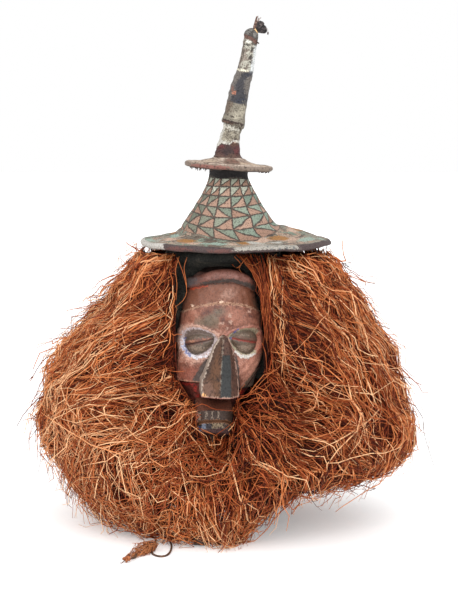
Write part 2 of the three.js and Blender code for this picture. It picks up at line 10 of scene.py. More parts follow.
import bpy
import numpy as np
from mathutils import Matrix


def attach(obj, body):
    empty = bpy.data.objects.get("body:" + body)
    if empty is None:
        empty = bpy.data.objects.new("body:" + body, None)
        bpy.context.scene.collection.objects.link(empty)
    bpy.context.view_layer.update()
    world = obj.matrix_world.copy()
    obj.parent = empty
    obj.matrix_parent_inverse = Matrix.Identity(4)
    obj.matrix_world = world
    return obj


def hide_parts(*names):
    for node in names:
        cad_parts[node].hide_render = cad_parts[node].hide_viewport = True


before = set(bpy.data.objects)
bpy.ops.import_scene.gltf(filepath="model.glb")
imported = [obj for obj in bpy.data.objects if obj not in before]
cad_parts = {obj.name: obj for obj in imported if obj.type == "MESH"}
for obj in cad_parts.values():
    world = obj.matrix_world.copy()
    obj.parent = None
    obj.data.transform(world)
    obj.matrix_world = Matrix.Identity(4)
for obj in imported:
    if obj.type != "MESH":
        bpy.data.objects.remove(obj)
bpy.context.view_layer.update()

# %% [markdown]
# ## Small tools for numbers
# A shape here is a whole array of points. A few helpers do most of the work: one eases from
# 0 to 1, one is a bell curve, one draws a smooth line through a few points, and one gives
# soft bumps without storing any picture of them.

# %% Easing, smooth lines and soft bumps
MM = 0.001
TURN = 2 * np.pi
UP = np.array([0, 0, 1.0])
BACK = np.array([0, 1.0, 0])


def ease(value, low, high):
    """0 below low, 1 above high, and between them the S-shaped cubic 3t^2 - 2t^3."""
    t = np.clip((value - low) / (high - low), 0, 1)
    return t * t * (3 - 2 * t)


def bell(value, middle, wide):
    """A bell curve: 1 at the middle, and exp(-1) at a width from it."""
    return np.exp(-(((value - middle) / wide) ** 2))


def mix(a, b, share):
    """The straight blend from a to b."""
    return a + (b - a) * share


def through(points, count):
    """A smooth line through the points, as count places evenly far apart. On each span it is
    the cubic whose slope at a point is half the step between that point's two neighbours."""
    p = np.asarray(points, float)
    p = np.vstack([2 * p[0] - p[1], p, 2 * p[-1] - p[-2]])
    t = np.linspace(0, len(p) - 3, 60 * len(p))
    i = np.minimum(t.astype(int), len(p) - 4)
    f = (t - i)[:, None]
    a, b, c, d = (p[i + k] for k in range(4))
    fine = b + 0.5 * f * (c - a + f * (2 * a - 5 * b + 4 * c - d + f * (3 * (b - c) + d - a)))
    length = np.r_[0, np.cumsum(np.linalg.norm(np.diff(fine, axis=0), axis=1))]
    even = np.linspace(0, length[-1], count)
    return np.stack([np.interp(even, length, column) for column in fine.T], 1)


def ripple(points, size, seed, waves=14):
    """Soft bumps of about -1 to 1: the sum of sines that run in random directions through
    space, with about size millimetres from crest to crest."""
    rng = np.random.default_rng(seed)
    way = rng.normal(size=(3, waves))
    way *= rng.uniform(0.6, 1.5, waves) * TURN / size / np.linalg.norm(way, axis=0)
    return np.sin(points @ way + rng.uniform(0, TURN, waves)).sum(-1) / np.sqrt(waves)


print("a bump 5 mm from the middle is", ripple(np.full((1, 3), 5.0), 20, 1).round(2))

# %% [markdown]
# ## Small tools for meshes
# Nearly every piece is a stack of rings, like a pot built from coils. One function closes
# such a stack into a shell, another puts shells into one mesh. A shell can carry marks:
# numbers at its points, such as the distance to a painted line, which its finish reads.

# %% Shells and pieces
def shell(rings, finish=0, **marks):
    """Closes a stack of rings, rows x columns x 3, into one shell. Four-sided faces join
    neighbouring rings, and a fan of triangles from the mean of each end ring closes it.
    The faces are turned so that the shell's volume, a sum over its faces, is positive."""
    rows, columns = rings.shape[:2]
    points = np.vstack([rings.reshape(-1, 3), rings[0].mean(0), rings[-1].mean(0)])
    i = np.arange(rows - 1)[:, None] * columns
    j = np.arange(columns)
    k = (j + 1) % columns
    sides = np.stack([i + j, i + k, i + k + columns, i + j + columns], -1).reshape(-1, 4)
    last, middle = (rows - 1) * columns, rows * columns
    ends = np.vstack([
        np.stack([k, j, np.full(columns, middle)], 1),
        np.stack([last + j, last + k, np.full(columns, middle + 1)], 1),
    ])
    corners = points[np.vstack([sides[:, :3], sides[:, [0, 2, 3]], ends])]
    volume = np.einsum("ij,ij->", corners[:, 0], np.cross(corners[:, 1], corners[:, 2]))
    if volume < 0:
        sides, ends = sides[:, ::-1], ends[:, ::-1]
    marks = {name: np.r_[m.ravel(), m[0].mean(), m[-1].mean()] for name, m in marks.items()}
    return {"points": points, "faces": [sides, ends], "finish": finish, "marks": marks}


def piece(name, shells, finishes, replaces):
    """One object at the origin from shells in millimetres, with its finishes and its ride."""
    starts = np.cumsum([0] + [len(s["points"]) for s in shells])
    faces = [f + start for s, start in zip(shells, starts) for f in s["faces"]]
    finish = [np.full(len(f), s["finish"]) for s in shells for f in s["faces"]]
    sizes = np.concatenate([np.full(len(f), f.shape[1]) for f in faces])
    mesh = bpy.data.meshes.new(name)
    mesh.vertices.add(starts[-1])
    points = np.vstack([s["points"] for s in shells]) * MM
    mesh.vertices.foreach_set("co", points.astype(np.float32).ravel())
    mesh.loops.add(int(sizes.sum()))
    mesh.loops.foreach_set("vertex_index", np.concatenate([f.ravel() for f in faces]))
    mesh.polygons.add(len(sizes))
    mesh.polygons.foreach_set("loop_start", np.cumsum(sizes) - sizes)
    mesh.polygons.foreach_set("material_index", np.concatenate(finish))
    mesh.polygons.foreach_set("use_smooth", np.ones(len(sizes), bool))
    for mark in sorted({m for s in shells for m in s["marks"]}):
        values = [s["marks"].get(mark, np.zeros(len(s["points"]))) for s in shells]
        attribute = mesh.attributes.new(mark, "FLOAT", "POINT")
        attribute.data.foreach_set("value", np.concatenate(values).astype(np.float32))
    mesh.update(calc_edges=True)
    for made in finishes:
        mesh.materials.append(made)
    made = bpy.data.objects.new(name, mesh)
    bpy.context.scene.collection.objects.link(made)
    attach(made, "root")
    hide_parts(*replaces)
    print(name, "has", int((sizes - 2).sum()), "triangles")
    return made


sides, ends = shell(np.zeros((2, 6, 3)))["faces"]
print("a shell of two rings of 6 points has", len(sides), "sides and", len(ends), "end faces")

# %% [markdown]
# ## Small tools for finishes
# Paint colours are written as the hex values of a colour card. The shader wants linear
# light, so one function turns them. One other function adds a node to a material.

# %% Colours and nodes
def paint(card):
    """Linear red, green, blue and alpha of an sRGB hex value: each part is c/12.92 up to
    0.04045, and ((c + 0.055)/1.055)^2.4 above it."""
    c = np.array([int(card[i : i + 2], 16) for i in (1, 3, 5)]) / 255
    return (*np.where(c <= 0.04045, c / 12.92, ((c + 0.055) / 1.055) ** 2.4), 1.0)


def node(tree, kind, inputs=None, output=0, stops=(), **settings):
    """Adds a node, sets it, gives its inputs their values or links, and returns one output.
    A ramp also gets its stops: pairs of place and hex colour."""
    made = tree.nodes.new("ShaderNode" + kind)
    for name, value in settings.items():
        setattr(made, name, value)
    for n, (place, card) in enumerate(stops):
        stop = made.color_ramp.elements[n] if n < 2 else made.color_ramp.elements.new(place)
        stop.position, stop.color = place, paint(card)
    for name, value in (inputs or {}).items():
        if isinstance(value, bpy.types.NodeSocket):
            tree.links.new(value, made.inputs[name])
        else:
            made.inputs[name].default_value = value
    return made.outputs[output]


def finish(name, make, **shader):
    """A material: make(tree) gives the colour and, where they vary, the height of the relief
    in metres and the roughness. Values that are even all over are set on the shader."""
    made = bpy.data.materials.new(name)
    made.use_nodes = True
    tree = made.node_tree
    tree.nodes.clear()
    colour, height, roughness = make(tree)
    links = {"Base Color": colour}
    if roughness is not None:
        links["Roughness"] = roughness
    if height is not None:
        links["Normal"] = node(tree, "Bump", {"Height": height, "Distance": 1.0, "Strength": 0.8})
    surface = node(tree, "BsdfPrincipled", {**links, **shader})
    last = tree.nodes.new("ShaderNodeOutputMaterial")
    tree.links.new(surface, last.inputs["Surface"])
    print(name, "is made of", len(tree.nodes), "nodes")
    return made


print("rust on the card #b0622f is", np.round(paint("#b0622f"), 3))

# %% [markdown]
# Two more helpers serve many finishes. A plain one is a single noise that runs through a few
# tones, as on wood grain, rag or fibre. Dirt is a tone that darkens whatever lies below it.

# %% Plain finishes and dirt
def flecked(scale, detail, stops, relief=0.0, squeeze=1.0):
    """Makes a plain finish: one noise gives the tone, through the stops, and the height, times
    the relief in metres. A squeeze under 1 draws its flecks out upright."""
    def make(tree):
        place = node(tree, "TexCoord", output=3)
        drawn = node(tree, "Mapping", {"Vector": place, "Scale": (1.0, 1.0, squeeze)})
        fleck = node(tree, "TexNoise", {"Vector": drawn, "Scale": scale, "Detail": detail})
        height = relief and node(tree, "Math", {0: fleck, 1: relief}, operation="MULTIPLY")
        return node(tree, "ValToRGB", {0: fleck}, stops=stops), height or None, None
    return make


def rubbed(tree, colour, grain, low, high, card, strength):
    """Darkens a colour where a grain is low: times a tone that is the card's up to low and
    white from high, by the strength."""
    tone = node(tree, "ValToRGB", {0: grain}, stops=[(low, card), (high, "#ffffff")])
    return node(tree, "Mix", {0: strength, 6: colour, 7: tone}, 2,
                data_type="RGBA", blend_type="MULTIPLY")


print("a noise of scale 500 has flecks", 1000 / 500, "mm wide")

# %% [markdown]
# ## The camera, the floor and the light
# The photograph was taken from a little above the brim, straight at the mask, with a long
# lens: the picture is 600 pixels high and its focal length is 1805 of them. A very wide
# soft light from each upper side, one from the front and an even white room make the pale
# shadows. The paper on the floor is lit from below a little, as on a light table.

# %% Camera
PICTURE_HIGH, FOCAL_LENGTH = 600, 1805  # in pixels
CAMERA_PLACE, CAMERA_DOWN = (0.0058, -2.6, 0.62), 6.45  # in metres, and in degrees
lens = bpy.data.cameras.new("camera")
lens.sensor_width = 36
lens.lens = FOCAL_LENGTH / PICTURE_HIGH * lens.sensor_width
camera = bpy.data.objects.new("camera", lens)
camera.location = CAMERA_PLACE
camera.rotation_euler = (np.radians(90 - CAMERA_DOWN), 0, 0)
bpy.context.scene.collection.objects.link(camera)
bpy.context.scene.camera = camera
bpy.context.scene.view_settings.view_transform = "Standard"
print("lens", round(lens.lens, 1), "mm")

# %% [markdown]
# ## The vine
# A thin dark vine comes out of the raffia at the lower left, makes a loop on the floor and
# goes back in. It is one round stem carried along a smooth route, so it is a tube: a circle
# set square to the route at every step.

# %% Tubes along a route
def tube(route, radius, sides=8, finish=0):
    """A round bar along a route of points: circles of the radius, given as one number or
    one for each point, square to the route. Each circle starts in the direction that is
    square to the route and to up, or on a steep route to the depth of the scene."""
    ahead = np.gradient(route, axis=0)
    ahead /= np.linalg.norm(ahead, axis=1, keepdims=True)
    aside = np.cross(ahead, UP if abs(ahead[:, 2]).mean() < 0.7 else BACK)
    aside /= np.linalg.norm(aside, axis=1, keepdims=True)
    over = np.cross(aside, ahead)
    turn = np.linspace(0, TURN, sides, endpoint=False)[:, None]
    radius = np.broadcast_to(radius, len(route))[:, None, None]
    ring = np.cos(turn) * aside[:, None] + np.sin(turn) * over[:, None]
    return shell(route[:, None] + radius * ring, finish)


VINE_RADIUS = 1.5
VINE_ROUTE = [
    (-97, -121), (-97, -133), (-98, -146), (-99.5, -161), (-100.5, -176), (-100, -190),
    (-97, -203), (-91.5, -212), (-85, -214.5), (-79, -209), (-75.5, -197), (-74, -183),
    (-73.5, -168), (-74, -153), (-75, -142), (-76.5, -133),
]
VINE_STEPS = 38
vine_route = through([(x, y, VINE_RADIUS) for x, y in VINE_ROUTE], VINE_STEPS)


# %% Finish of the vine: dry bark, matt and brown, with paler scuffs
def bark(tree):
    """Blotches 6 mm long and streaks 1 mm wide between dark and mid brown."""
    place = node(tree, "TexCoord", output=3)
    blotch = node(tree, "TexNoise", {"Vector": place, "Scale": 160, "Detail": 4})
    fine = node(tree, "TexNoise", {"Vector": place, "Scale": 900, "Detail": 2})
    both = node(tree, "Math", {0: blotch, 1: fine}, operation="MULTIPLY")
    colour = node(tree, "ValToRGB", {0: both}, stops=[
        (0.12, "#2a1a12"), (0.3, "#5a3a26"), (0.45, "#8a6a4c")])
    height = node(tree, "Math", {0: fine, 1: 0.0004}, operation="MULTIPLY")
    return colour, height, None


vine_bark = finish("dry_vine_bark", bark, Roughness=0.75, IOR=1.5)

# %% The vine, up to 3% thinner between its nodes
vine_radius = VINE_RADIUS * (0.97 + 0.03 * np.sin(np.arange(VINE_STEPS) * 1.7))
vine = piece("vine", [tube(vine_route, vine_radius)], [vine_bark], ["tie_cord"])

# %% The floor: matt white paper with the faintest mottle, 80 mm across
white_paper = flecked(12, 2, [(0.3, "#efefef"), (0.7, "#f3f3f3")])
lit_below = {"Emission Color": (1, 1, 1, 1), "Emission Strength": 0.25}
bpy.ops.mesh.primitive_plane_add(size=24, location=(0, 0, 0))
ground = bpy.context.object
ground.name = "ground"
ground.data.materials.append(
    finish("white_paper_floor", white_paper, Roughness=0.9, IOR=1.5, **lit_below))

# %% The light
SOFTBOXES = {  # strength, width seen from the mask, tilt and roll in degrees
    "right_softbox": (1.1, 40, 46, 26), "left_softbox": (0.7, 50, 40, -36),
    "front_softbox": (0.9, 50, 66, 0),
}
for name, (energy, angle, tilt, roll) in SOFTBOXES.items():
    lamp = bpy.data.objects.new(name, bpy.data.lights.new(name, "SUN"))
    lamp.data.energy = energy
    lamp.data.angle = np.radians(angle)
    lamp.rotation_euler = (np.radians(tilt), np.radians(roll), 0)
    bpy.context.scene.collection.objects.link(lamp)
room = bpy.data.worlds.new("white room")
room.use_nodes = True
room.node_tree.nodes["Background"].inputs[0].default_value = (1, 1, 1, 1)
room.node_tree.nodes["Background"].inputs[1].default_value = 1.0
bpy.context.scene.world = room
print("three soft lamps and a white room light the floor")

# %% [markdown]
# ## The raffia
# The collar is thousands of split palm strands, 1 to 2.5 mm thick and 10 to 30 cm long,
# tied on in two layers: one hangs from under the brim, the other from the hood and the jaw.
# Hair particles would vanish in an export, so each strand is a real three-sided tube.
#
# First comes the skin that the strands follow. Seen from above the mass is a blend of four
# outlines, and for each layer a profile runs from its roots out and down.

# %% The outlines of the mass
OUTLINES = {  # distance from the middle and height, from the floor up to the brim
    "right": [(100, 0), (130, 22), (208, 58), (268, 96), (288, 138), (271, 200), (242, 268),
              (204, 338), (153, 401)],
    "back": [(152, 0), (182, 18), (216, 60), (230, 110), (230, 158), (218, 216), (200, 276),
             (172, 340), (145, 401)],
    "left": [(150, 0), (200, 20), (230, 66), (264, 114), (278, 165), (273, 214), (243, 262),
             (186, 322), (136, 401)],
    "front": [(138, 0), (172, 16), (204, 48), (226, 92), (224, 132), (205, 190), (182, 262),
              (152, 332), (128, 401)],
}
FACE_AXIS = np.array([-7.0, -40, 265])
HOOD = {"x": -3, "y": 20, "across": 85, "deep": 98}
OPENING = {"middle": -92, "half": 40.5, "close_right": 20, "close_left": 9}  # degrees
SMALL_GAPS = [(15, -103, 6), (14, -142, 22), (13, -47, 10)]  # millimetres, degrees, degrees
fine_outlines = {side: through(points, 321) for side, points in OUTLINES.items()}
fine_stations = {
    side: np.interp(line[:, 1], [z for _, z in OUTLINES[side]], np.arange(9))
    for side, line in fine_outlines.items()
}
print("the outlines have", *[len(line) for line in fine_outlines.values()], "places")


# %% The outside of the mass in any direction
def aside_of(direction, middle=OPENING["middle"]):
    """Degrees to the right of a direction given in degrees, from -180 to 180."""
    return (np.degrees(direction) - middle + 180) % 360 - 180


def shares(direction):
    """The part of each outline in a direction: the squares of its cosine and sine."""
    c, s = np.cos(direction), np.sin(direction)
    return {"right": np.maximum(c, 0) ** 2, "back": np.maximum(s, 0) ** 2,
            "left": np.maximum(-c, 0) ** 2, "front": np.maximum(-s, 0) ** 2}


def lifted(direction):
    """Millimetres by which the mass hangs clear of the floor: up to 66 at the front right,
    where it was pushed up when it was set down, and a bell curve for each smaller gap."""
    around = aside_of(direction, -35)
    lift = 66 * ease(around, -56, -14) * (1 - ease(around, 30, 95))
    for high, middle, wide in SMALL_GAPS:
        lift = lift + high * bell(aside_of(direction, middle), 0, wide)
    return lift


def outline(direction, station):
    """Distance and height of the outside at a station from 0 on the floor to 8 at the brim."""
    distance, height = 0, 0
    for side, share in shares(direction).items():
        from_middle, from_floor = fine_outlines[side].T
        distance = distance + share * np.interp(station, fine_stations[side], from_middle)
        height = height + share * np.interp(station, fine_stations[side], from_floor)
    low = 1 - ease(height, 0, 130)
    return distance, height + lifted(direction) * low


print("in front, at station 3, the mass reaches out", outline(-TURN / 4, 3)[0].round(), "mm")


# %% The inside of the mass, and the opening in front of the face
def reach(direction, x, y, across, deep):
    """Distance to the edge of an oval round (x, y): the larger root of a square equation."""
    ux, uy, px, py = np.cos(direction) / across, np.sin(direction) / deep, x / across, y / deep
    a, b = ux**2 + uy**2, ux * px + uy * py
    return (b + np.sqrt(b * b - a * (px * px + py * py - 1))) / a


def inner(direction, height):
    """Distance of the inside of the raffia, clear of the hood and of the face. Both grow
    narrower below the cheeks."""
    wide = ease(height, 150, 222)
    hood = mix(reach(direction, HOOD["x"], HOOD["y"], 80, 75), reach(direction, **HOOD), wide)
    face = reach(direction, FACE_AXIS[0], FACE_AXIS[1], mix(36, 66, wide), mix(45, 72, wide))
    return 3 + np.maximum(hood, face)


def closing(aside, height):
    """Degrees by which an edge of the opening has turned inwards below the cheeks."""
    full = np.where(aside > 0, OPENING["close_right"], OPENING["close_left"])
    return full * (1 - ease(height, 138, 215))


def off_opening(direction, height):
    """Degrees from the edge of the opening in front of the face, positive in the raffia."""
    aside = aside_of(direction)
    return np.abs(aside) - OPENING["half"] + closing(aside, height)


def gathered(direction, height):
    """Below the cheeks the hanks beside the opening swing in towards the mouth: fully at
    the edge, and less and less over the 36 degrees beside it."""
    aside = aside_of(direction)
    share = 1 - np.clip((np.abs(aside) - OPENING["half"]) / 36, 0, 1)
    return direction - np.sign(aside) * np.radians(closing(aside, height) * share)


def kept_out(direction, slack=0.0):
    """A direction beyond an edge of the opening, moved by a slack in degrees, is folded back
    close to that edge."""
    first = np.radians(OPENING["middle"] + OPENING["half"] + slack)
    last = first + np.radians(360 - 2 * (OPENING["half"] + slack))
    over, under = np.maximum(direction - last, 0), np.maximum(first - direction, 0)
    return direction - 1.7 * over + 1.7 * under


print("on the right the inside lies", inner(0.0, 300).round(), "mm from the middle")

# %% Two skins, as tables over direction and place
DIRECTIONS = np.radians(np.arange(0, 361, 2.0))[:, None]
PLACES = np.linspace(0, 1, 81)[None, :]


def beside(direction):
    """0 under the chin, 1 away from it, where the lower layer rises to the hood."""
    aside = np.abs(aside_of(direction, -93))
    return 0.6 * ease(aside, 12, 17) + 0.4 * ease(aside, 16, 42)


def tables(distance, height):
    """A skin: its distance and height, its outward direction in the upright plane, and the
    millimetres for one whole unit of place. The outward direction is smoothed over nine
    places, so that strands round the skin's corners."""
    dr, dz = np.gradient(distance, axis=1), np.gradient(height, axis=1)
    out_r, out_z = -dz, dr
    smooth = np.ones(9) / 9
    for way in (out_r, out_z):
        padded = np.pad(way, ((0, 0), (4, 4)), mode="edge")
        way[:] = np.stack([np.convolve(row, smooth, "valid") for row in padded])
    size = np.hypot(out_r, out_z) + 1e-9
    return np.stack([distance, height, out_r / size, out_z / size, np.hypot(dr, dz) * 80])


def upper_skin():
    """From the brim down the outside. Towards the opening the skin falls back to the hood
    over 17 degrees, like a parted curtain."""
    distance, height = outline(DIRECTIONS, mix(8, 0.9, PLACES))
    parted = ease(off_opening(DIRECTIONS, height), -1, 16)
    return tables(mix(inner(DIRECTIONS, height) + 9, distance - 8, parted), height)


JAW_LINE = [  # degrees aside of the chin, and height of the upper edge of the lower layer
    (-60, 254), (-46, 247), (-38, 237), (-31, 224), (-25, 211), (-18, 198), (-13, 184), (-8, 160),
    (4, 160), (8, 186), (12, 204), (18, 216), (25, 228), (33, 240), (46, 250), (60, 254),
]


def lower_skin():
    """From the hood or the chin outwards to the seam, then down the outside to the floor."""
    side = shares(DIRECTIONS)
    seam = mix(2.5, 3.5 + 1.2 * side["left"] + 0.4 * side["back"], beside(DIRECTIONS))
    aside = aside_of(DIRECTIONS, -93)
    top = np.interp(aside, *np.transpose(JAW_LINE))
    outer, level = outline(DIRECTIONS, seam)
    out = np.clip(PLACES / 0.42, 0, 1)
    distance, height = outline(DIRECTIONS, seam * np.clip((1 - PLACES) / 0.58, 0, 1))
    first = PLACES < 0.42
    crown = 14 * np.sin(np.pi * out) * (1 - beside(DIRECTIONS))
    return tables(np.where(first, mix(inner(DIRECTIONS, top), outer - 8, out), distance - 8),
                  np.where(first, mix(top, level, out) + crown, height))


def read(skin, direction, place):
    """Looks up a skin between its rows and columns, along straight lines."""
    row = (direction / np.radians(2)) % 180
    column = np.clip(place, 0, 1) * 80
    i, j = row.astype(int), np.minimum(column.astype(int), 79)
    f, g = row - i, column - j
    return ((1 - f) * (1 - g) * skin[:, i, j] + f * (1 - g) * skin[:, i + 1, j]
            + (1 - f) * g * skin[:, i, j + 1] + f * g * skin[:, i + 1, j + 1])


UPPER, LOWER = upper_skin(), lower_skin()
print("from root to end", UPPER[4].mean().round(), "and", LOWER[4].mean().round(), "mm")

# %% [markdown]
# A strand is laid step by step. At each step it heads down the skin, leans as its
# neighbours do, and bends, kinks and waves a little by itself. It lies at its own depth in
# the mass, and its tip springs out. All strands of a layer take each step together.

# %% Laying the strands
def lean_of_upper(direction, height):
    """Degrees by which the upper layer leans from straight down: to the left beside the left
    cheek, and a little to the right on the right."""
    around = np.degrees(direction) % 360
    left = ease(around, 182, 215) * (1 - ease(around, 232, 262)) * ease(height, 150, 260)
    right = (1 - ease(around, 20, 80)) + ease(around, 290, 330)
    return -34 * left + 7 * right


def lean_of_lower(direction, height):
    """The lower layer parts under the chin: it leans away from it on both sides."""
    aside = aside_of(direction, -97)
    away = np.sin(np.radians(np.clip(aside * 2.2, -90, 90)))
    return 24 * away * (1 - ease(np.abs(aside), 60, 120))


print("on the right the upper layer leans by", lean_of_upper(0.0, 200).round(), "degrees")


# %% A layer of strands, step by step
def lay(skin, lean, roots, rng, length, steps, parted, unruly):
    """Paths of strands, count x steps x 3. With h the heading from straight down, each step
    of length s adds s sin(h) / distance to the direction and s cos(h) / scale to the place.
    h is the lean, the slant and the bend of the lock and of the strand, its kinks, and two
    soft waves that neighbours have in common. A parted layer stays out of the opening. The
    left side lies less smooth than the right, and the unruly share of the strands slants,
    curls and springs out more."""
    direction, place, lock = roots
    count, locks = len(direction), lock[-1] + 1
    shared = rng.normal(size=(3, locks))[:, lock]
    length = rng.uniform(*length, locks)[lock] * rng.uniform(0.7, 1.15, count)
    step = length / (steps - 1)
    wild = rng.random(count) < unruly
    unrest = 0.92 - 0.24 * np.cos(direction)
    slant = unrest * (9 * shared[0] + rng.normal(0, 9, count)) + wild * rng.normal(0, 40, count)
    bend = unrest * (14 * shared[1] + rng.normal(0, 17, count))
    kink_at = rng.integers(1, steps, (2, count))
    kink = rng.normal(0, 30, (2, count)) * (rng.random((2, count)) < 0.36)
    depth = np.clip(9 + 5 * shared[2] + rng.normal(0, 5, count), 0, 24)
    spring = np.minimum(rng.exponential(4, count), 14) + wild * rng.uniform(0, 32, count)
    hang = 22 * rng.random(count) ** 1.5
    sway = rng.uniform(0, TURN, count)
    slack = rng.uniform(-2, 4, count) + np.minimum(shared[1], 1)
    curl = unrest * np.abs(rng.normal(0, 18, count)) * (1 + 1.6 * wild)
    paths = np.empty((count, steps, 3))
    height = read(skin, direction, place)[1]
    for k in range(steps):
        done = k / (steps - 1)
        way = gathered(kept_out(direction, slack), height) if parted else direction
        distance, height, out_r, out_z, scale = read(skin, way, place)
        flat = np.stack([distance * np.cos(way), distance * np.sin(way), height], 1)
        relief = 5.5 * ripple(flat, 62, 5) + 2.5 * ripple(flat, 24, 6) - 3
        proud = relief - depth + spring * done**2 + 1.4 * np.sin(3 * TURN * done + sway)
        r = np.maximum(distance + proud * out_r, inner(way, height) + 1)
        z = height + proud * out_z - hang * ease(-out_z, 0.1, 0.9)
        paths[:, k] = np.stack([r * np.cos(way), r * np.sin(way), z], 1)
        heading = lean(way, height) + slant + bend * done
        heading += (kink * (k >= kink_at)).sum(0)
        heading += 10 * ripple(flat, 110, 7) + 6 * ripple(flat, 40, 8)
        heading += curl * np.sin(2.2 * TURN * done + 3 * sway)
        h = np.radians(heading)
        direction = direction + np.sin(h) * step / np.maximum(distance, 60)
        place = place + np.cos(h) * step / scale
    return paths, depth


# %% Tone by place, and the strands as three-sided tubes
FRONT_TONE_BELLS = [  # tone added in front, then the middle and the width of its bell in x and in z
    (-0.2, (5, 95), (205, 110)),  # painted shade round the mouth, beside the face
    (0.12, (-170, 55), (95, 50)),
    (-0.15, (-123, 45), (370, 28)),
]


def painted_light_and_shade(points):
    """Tone added at a point: paler near the floor, as painted light from the floor, paler on
    both flanks, and a bell curve in x and z for each place in front that is darker or paler.
    The bell round the mouth is painted shade beside the face."""
    x, y, z = points.T
    flanks = ease(np.abs(x), 90, 150) * (1 - ease(z, 290, 340)) * ease(z, 90, 150)
    # paler near the floor: painted light from the floor
    added = 0.15 * (1 - ease(z, 5, 65)) + 0.07 * flanks
    for share, in_x, in_z in FRONT_TONE_BELLS:
        added = added + share * bell(x, *in_x) * bell(z, *in_z) * ease(-y, 0, 60)
    return added


def strands(paths, radius, tone, rng):
    """Three-sided tubes along many paths at once, in one shell. At each point of a path the
    corners sit at the radius, a third of a turn apart, square to the line between the two
    neighbouring points. The radius tapers towards the tip."""
    count, steps = paths.shape[:2]
    paths[..., 2] = np.maximum(paths[..., 2], radius[:, None] + 0.2)
    ahead = np.gradient(paths, axis=1)
    ahead /= np.linalg.norm(ahead, axis=2, keepdims=True) + 1e-9
    steady = rng.normal(size=(count, 1, 3))
    aside = np.cross(ahead, steady)
    aside /= np.linalg.norm(aside, axis=2, keepdims=True) + 1e-9
    over = np.cross(ahead, aside)
    taper = 1 - 0.55 * np.linspace(0, 1, steps) ** 2
    size = (radius[:, None] * taper)[..., None, None]
    turn = np.arange(3) * TURN / 3
    ring = np.cos(turn)[:, None] * aside[:, :, None] + np.sin(turn)[:, None] * over[:, :, None]
    points = (paths[:, :, None] + size * ring).reshape(-1, 3)
    start = np.arange(count)[:, None, None] * steps * 3
    row = np.arange(steps - 1)[None, :, None] * 3
    j = np.arange(3)[None, None, :]
    a, b = start + row + j, start + row + (j + 1) % 3
    sides = np.stack([a, b, b + 3, a + 3], -1).reshape(-1, 4)
    root = start[:, 0] + np.array([[2, 1, 0]])
    tip = start[:, 0] + (steps - 1) * 3 + np.array([[0, 1, 2]])
    along = np.tile(np.repeat(np.linspace(0, 1, steps), 3), count)
    marks = {"tone": np.repeat(tone, steps * 3) + painted_light_and_shade(points), "along": along}
    faces = [sides, np.vstack([root, tip])]
    return {"points": points, "faces": faces, "finish": 0, "marks": marks}


print("on the floor behind, a tone gains", painted_light_and_shade(np.array([[0, 200, 0]])).round(2))

# %% [markdown]
# Under the strands lies a dark core, so that no light falls through the mass. Its near-black
# colour is painted shade, the darkness deep inside the mass. It has the same profile, about
# 17 mm further in, and deeper beside the opening in front of the face.

# %% The core of a hank
CORE_DEPTH = 17


def core(skin, start, end, last=1.0, parted=True):
    """The profile of a skin carried from one direction to another in 21 outlines, below it
    by the core's depth and some bumps, and closed along the inside."""
    way, place = np.meshgrid(np.linspace(start, end, 21), np.linspace(0, last, 30), indexing="ij")
    if parted:
        way = gathered(way, read(skin, way, place)[1])
    distance, height, out_r, out_z, _ = read(skin, way, place)
    flat = np.stack([distance * np.cos(way), distance * np.sin(way), height], -1)
    sunk = CORE_DEPTH - 5 * ripple(flat, 62, 5)
    sunk += 26 * (1 - ease(off_opening(way, height), 3, 15))
    r = np.maximum(distance - sunk * out_r, inner(way, height) + 2)
    z = np.maximum(height - sunk * out_z, 1)
    back = np.linspace(1, 0, 6)[None, 1:-1]
    r = np.hstack([r, inner(way[:, :4], mix(z[:, :1], z[:, -1:], back))])
    z = np.hstack([z, mix(z[:, :1], z[:, -1:], back)])
    way = np.hstack([way, way[:, :1] + 0 * back])
    return shell(np.stack([r * np.cos(way), r * np.sin(way), z], -1), finish=1)


print("the core lies", CORE_DEPTH, "mm below the skin")


# %% Finish of the raffia: split palm leaf, dyed with camwood and dried to rust and tan. It is
# matt and a little fluffy, so it mirrors less than its IOR says.
def split_palm(tree):
    """Each strand has its own tone from dark rust to tan. It pales towards its tip, and
    scuffs 15 mm long vary it."""
    tone = node(tree, "Attribute", {}, 2, attribute_name="tone")
    along = node(tree, "Attribute", {}, 2, attribute_name="along")
    place = node(tree, "TexCoord", output=3)
    scuff = node(tree, "TexNoise", {"Vector": place, "Scale": 65, "Detail": 3})
    shift = node(tree, "Math", {0: scuff, 1: 0.34, 2: -0.17}, operation="MULTIPLY_ADD")
    tip = node(tree, "Math", {0: along, 1: 0.08, 2: shift}, operation="MULTIPLY_ADD")
    value = node(tree, "Math", {0: tone, 1: tip}, operation="ADD")
    colour = node(tree, "ValToRGB", {0: value}, stops=[
        (0.0, "#240500"), (0.2, "#5a1a05"), (0.45, "#97441f"), (0.72, "#ca7843"),
        (1.0, "#f0bd8e")])
    height = node(tree, "Math", {0: scuff, 1: 0.0005}, operation="MULTIPLY")
    return colour, height, None


dull = {"IOR": 1.45, "Specular IOR Level": 0.25}
palm = finish("dyed_split_palm", split_palm, Roughness=0.6, **dull)

# %% Finish of the core: painted shade of the deep mass, streaks 3 mm wide from near black to rust
painted_shade_palm = flecked(300, 5, [(0.35, "#280a03"), (0.6, "#561e0a"), (0.8, "#7a3210")], 0.002)
palm_core = finish("split_palm_painted_shade", painted_shade_palm, Roughness=0.85, **dull)

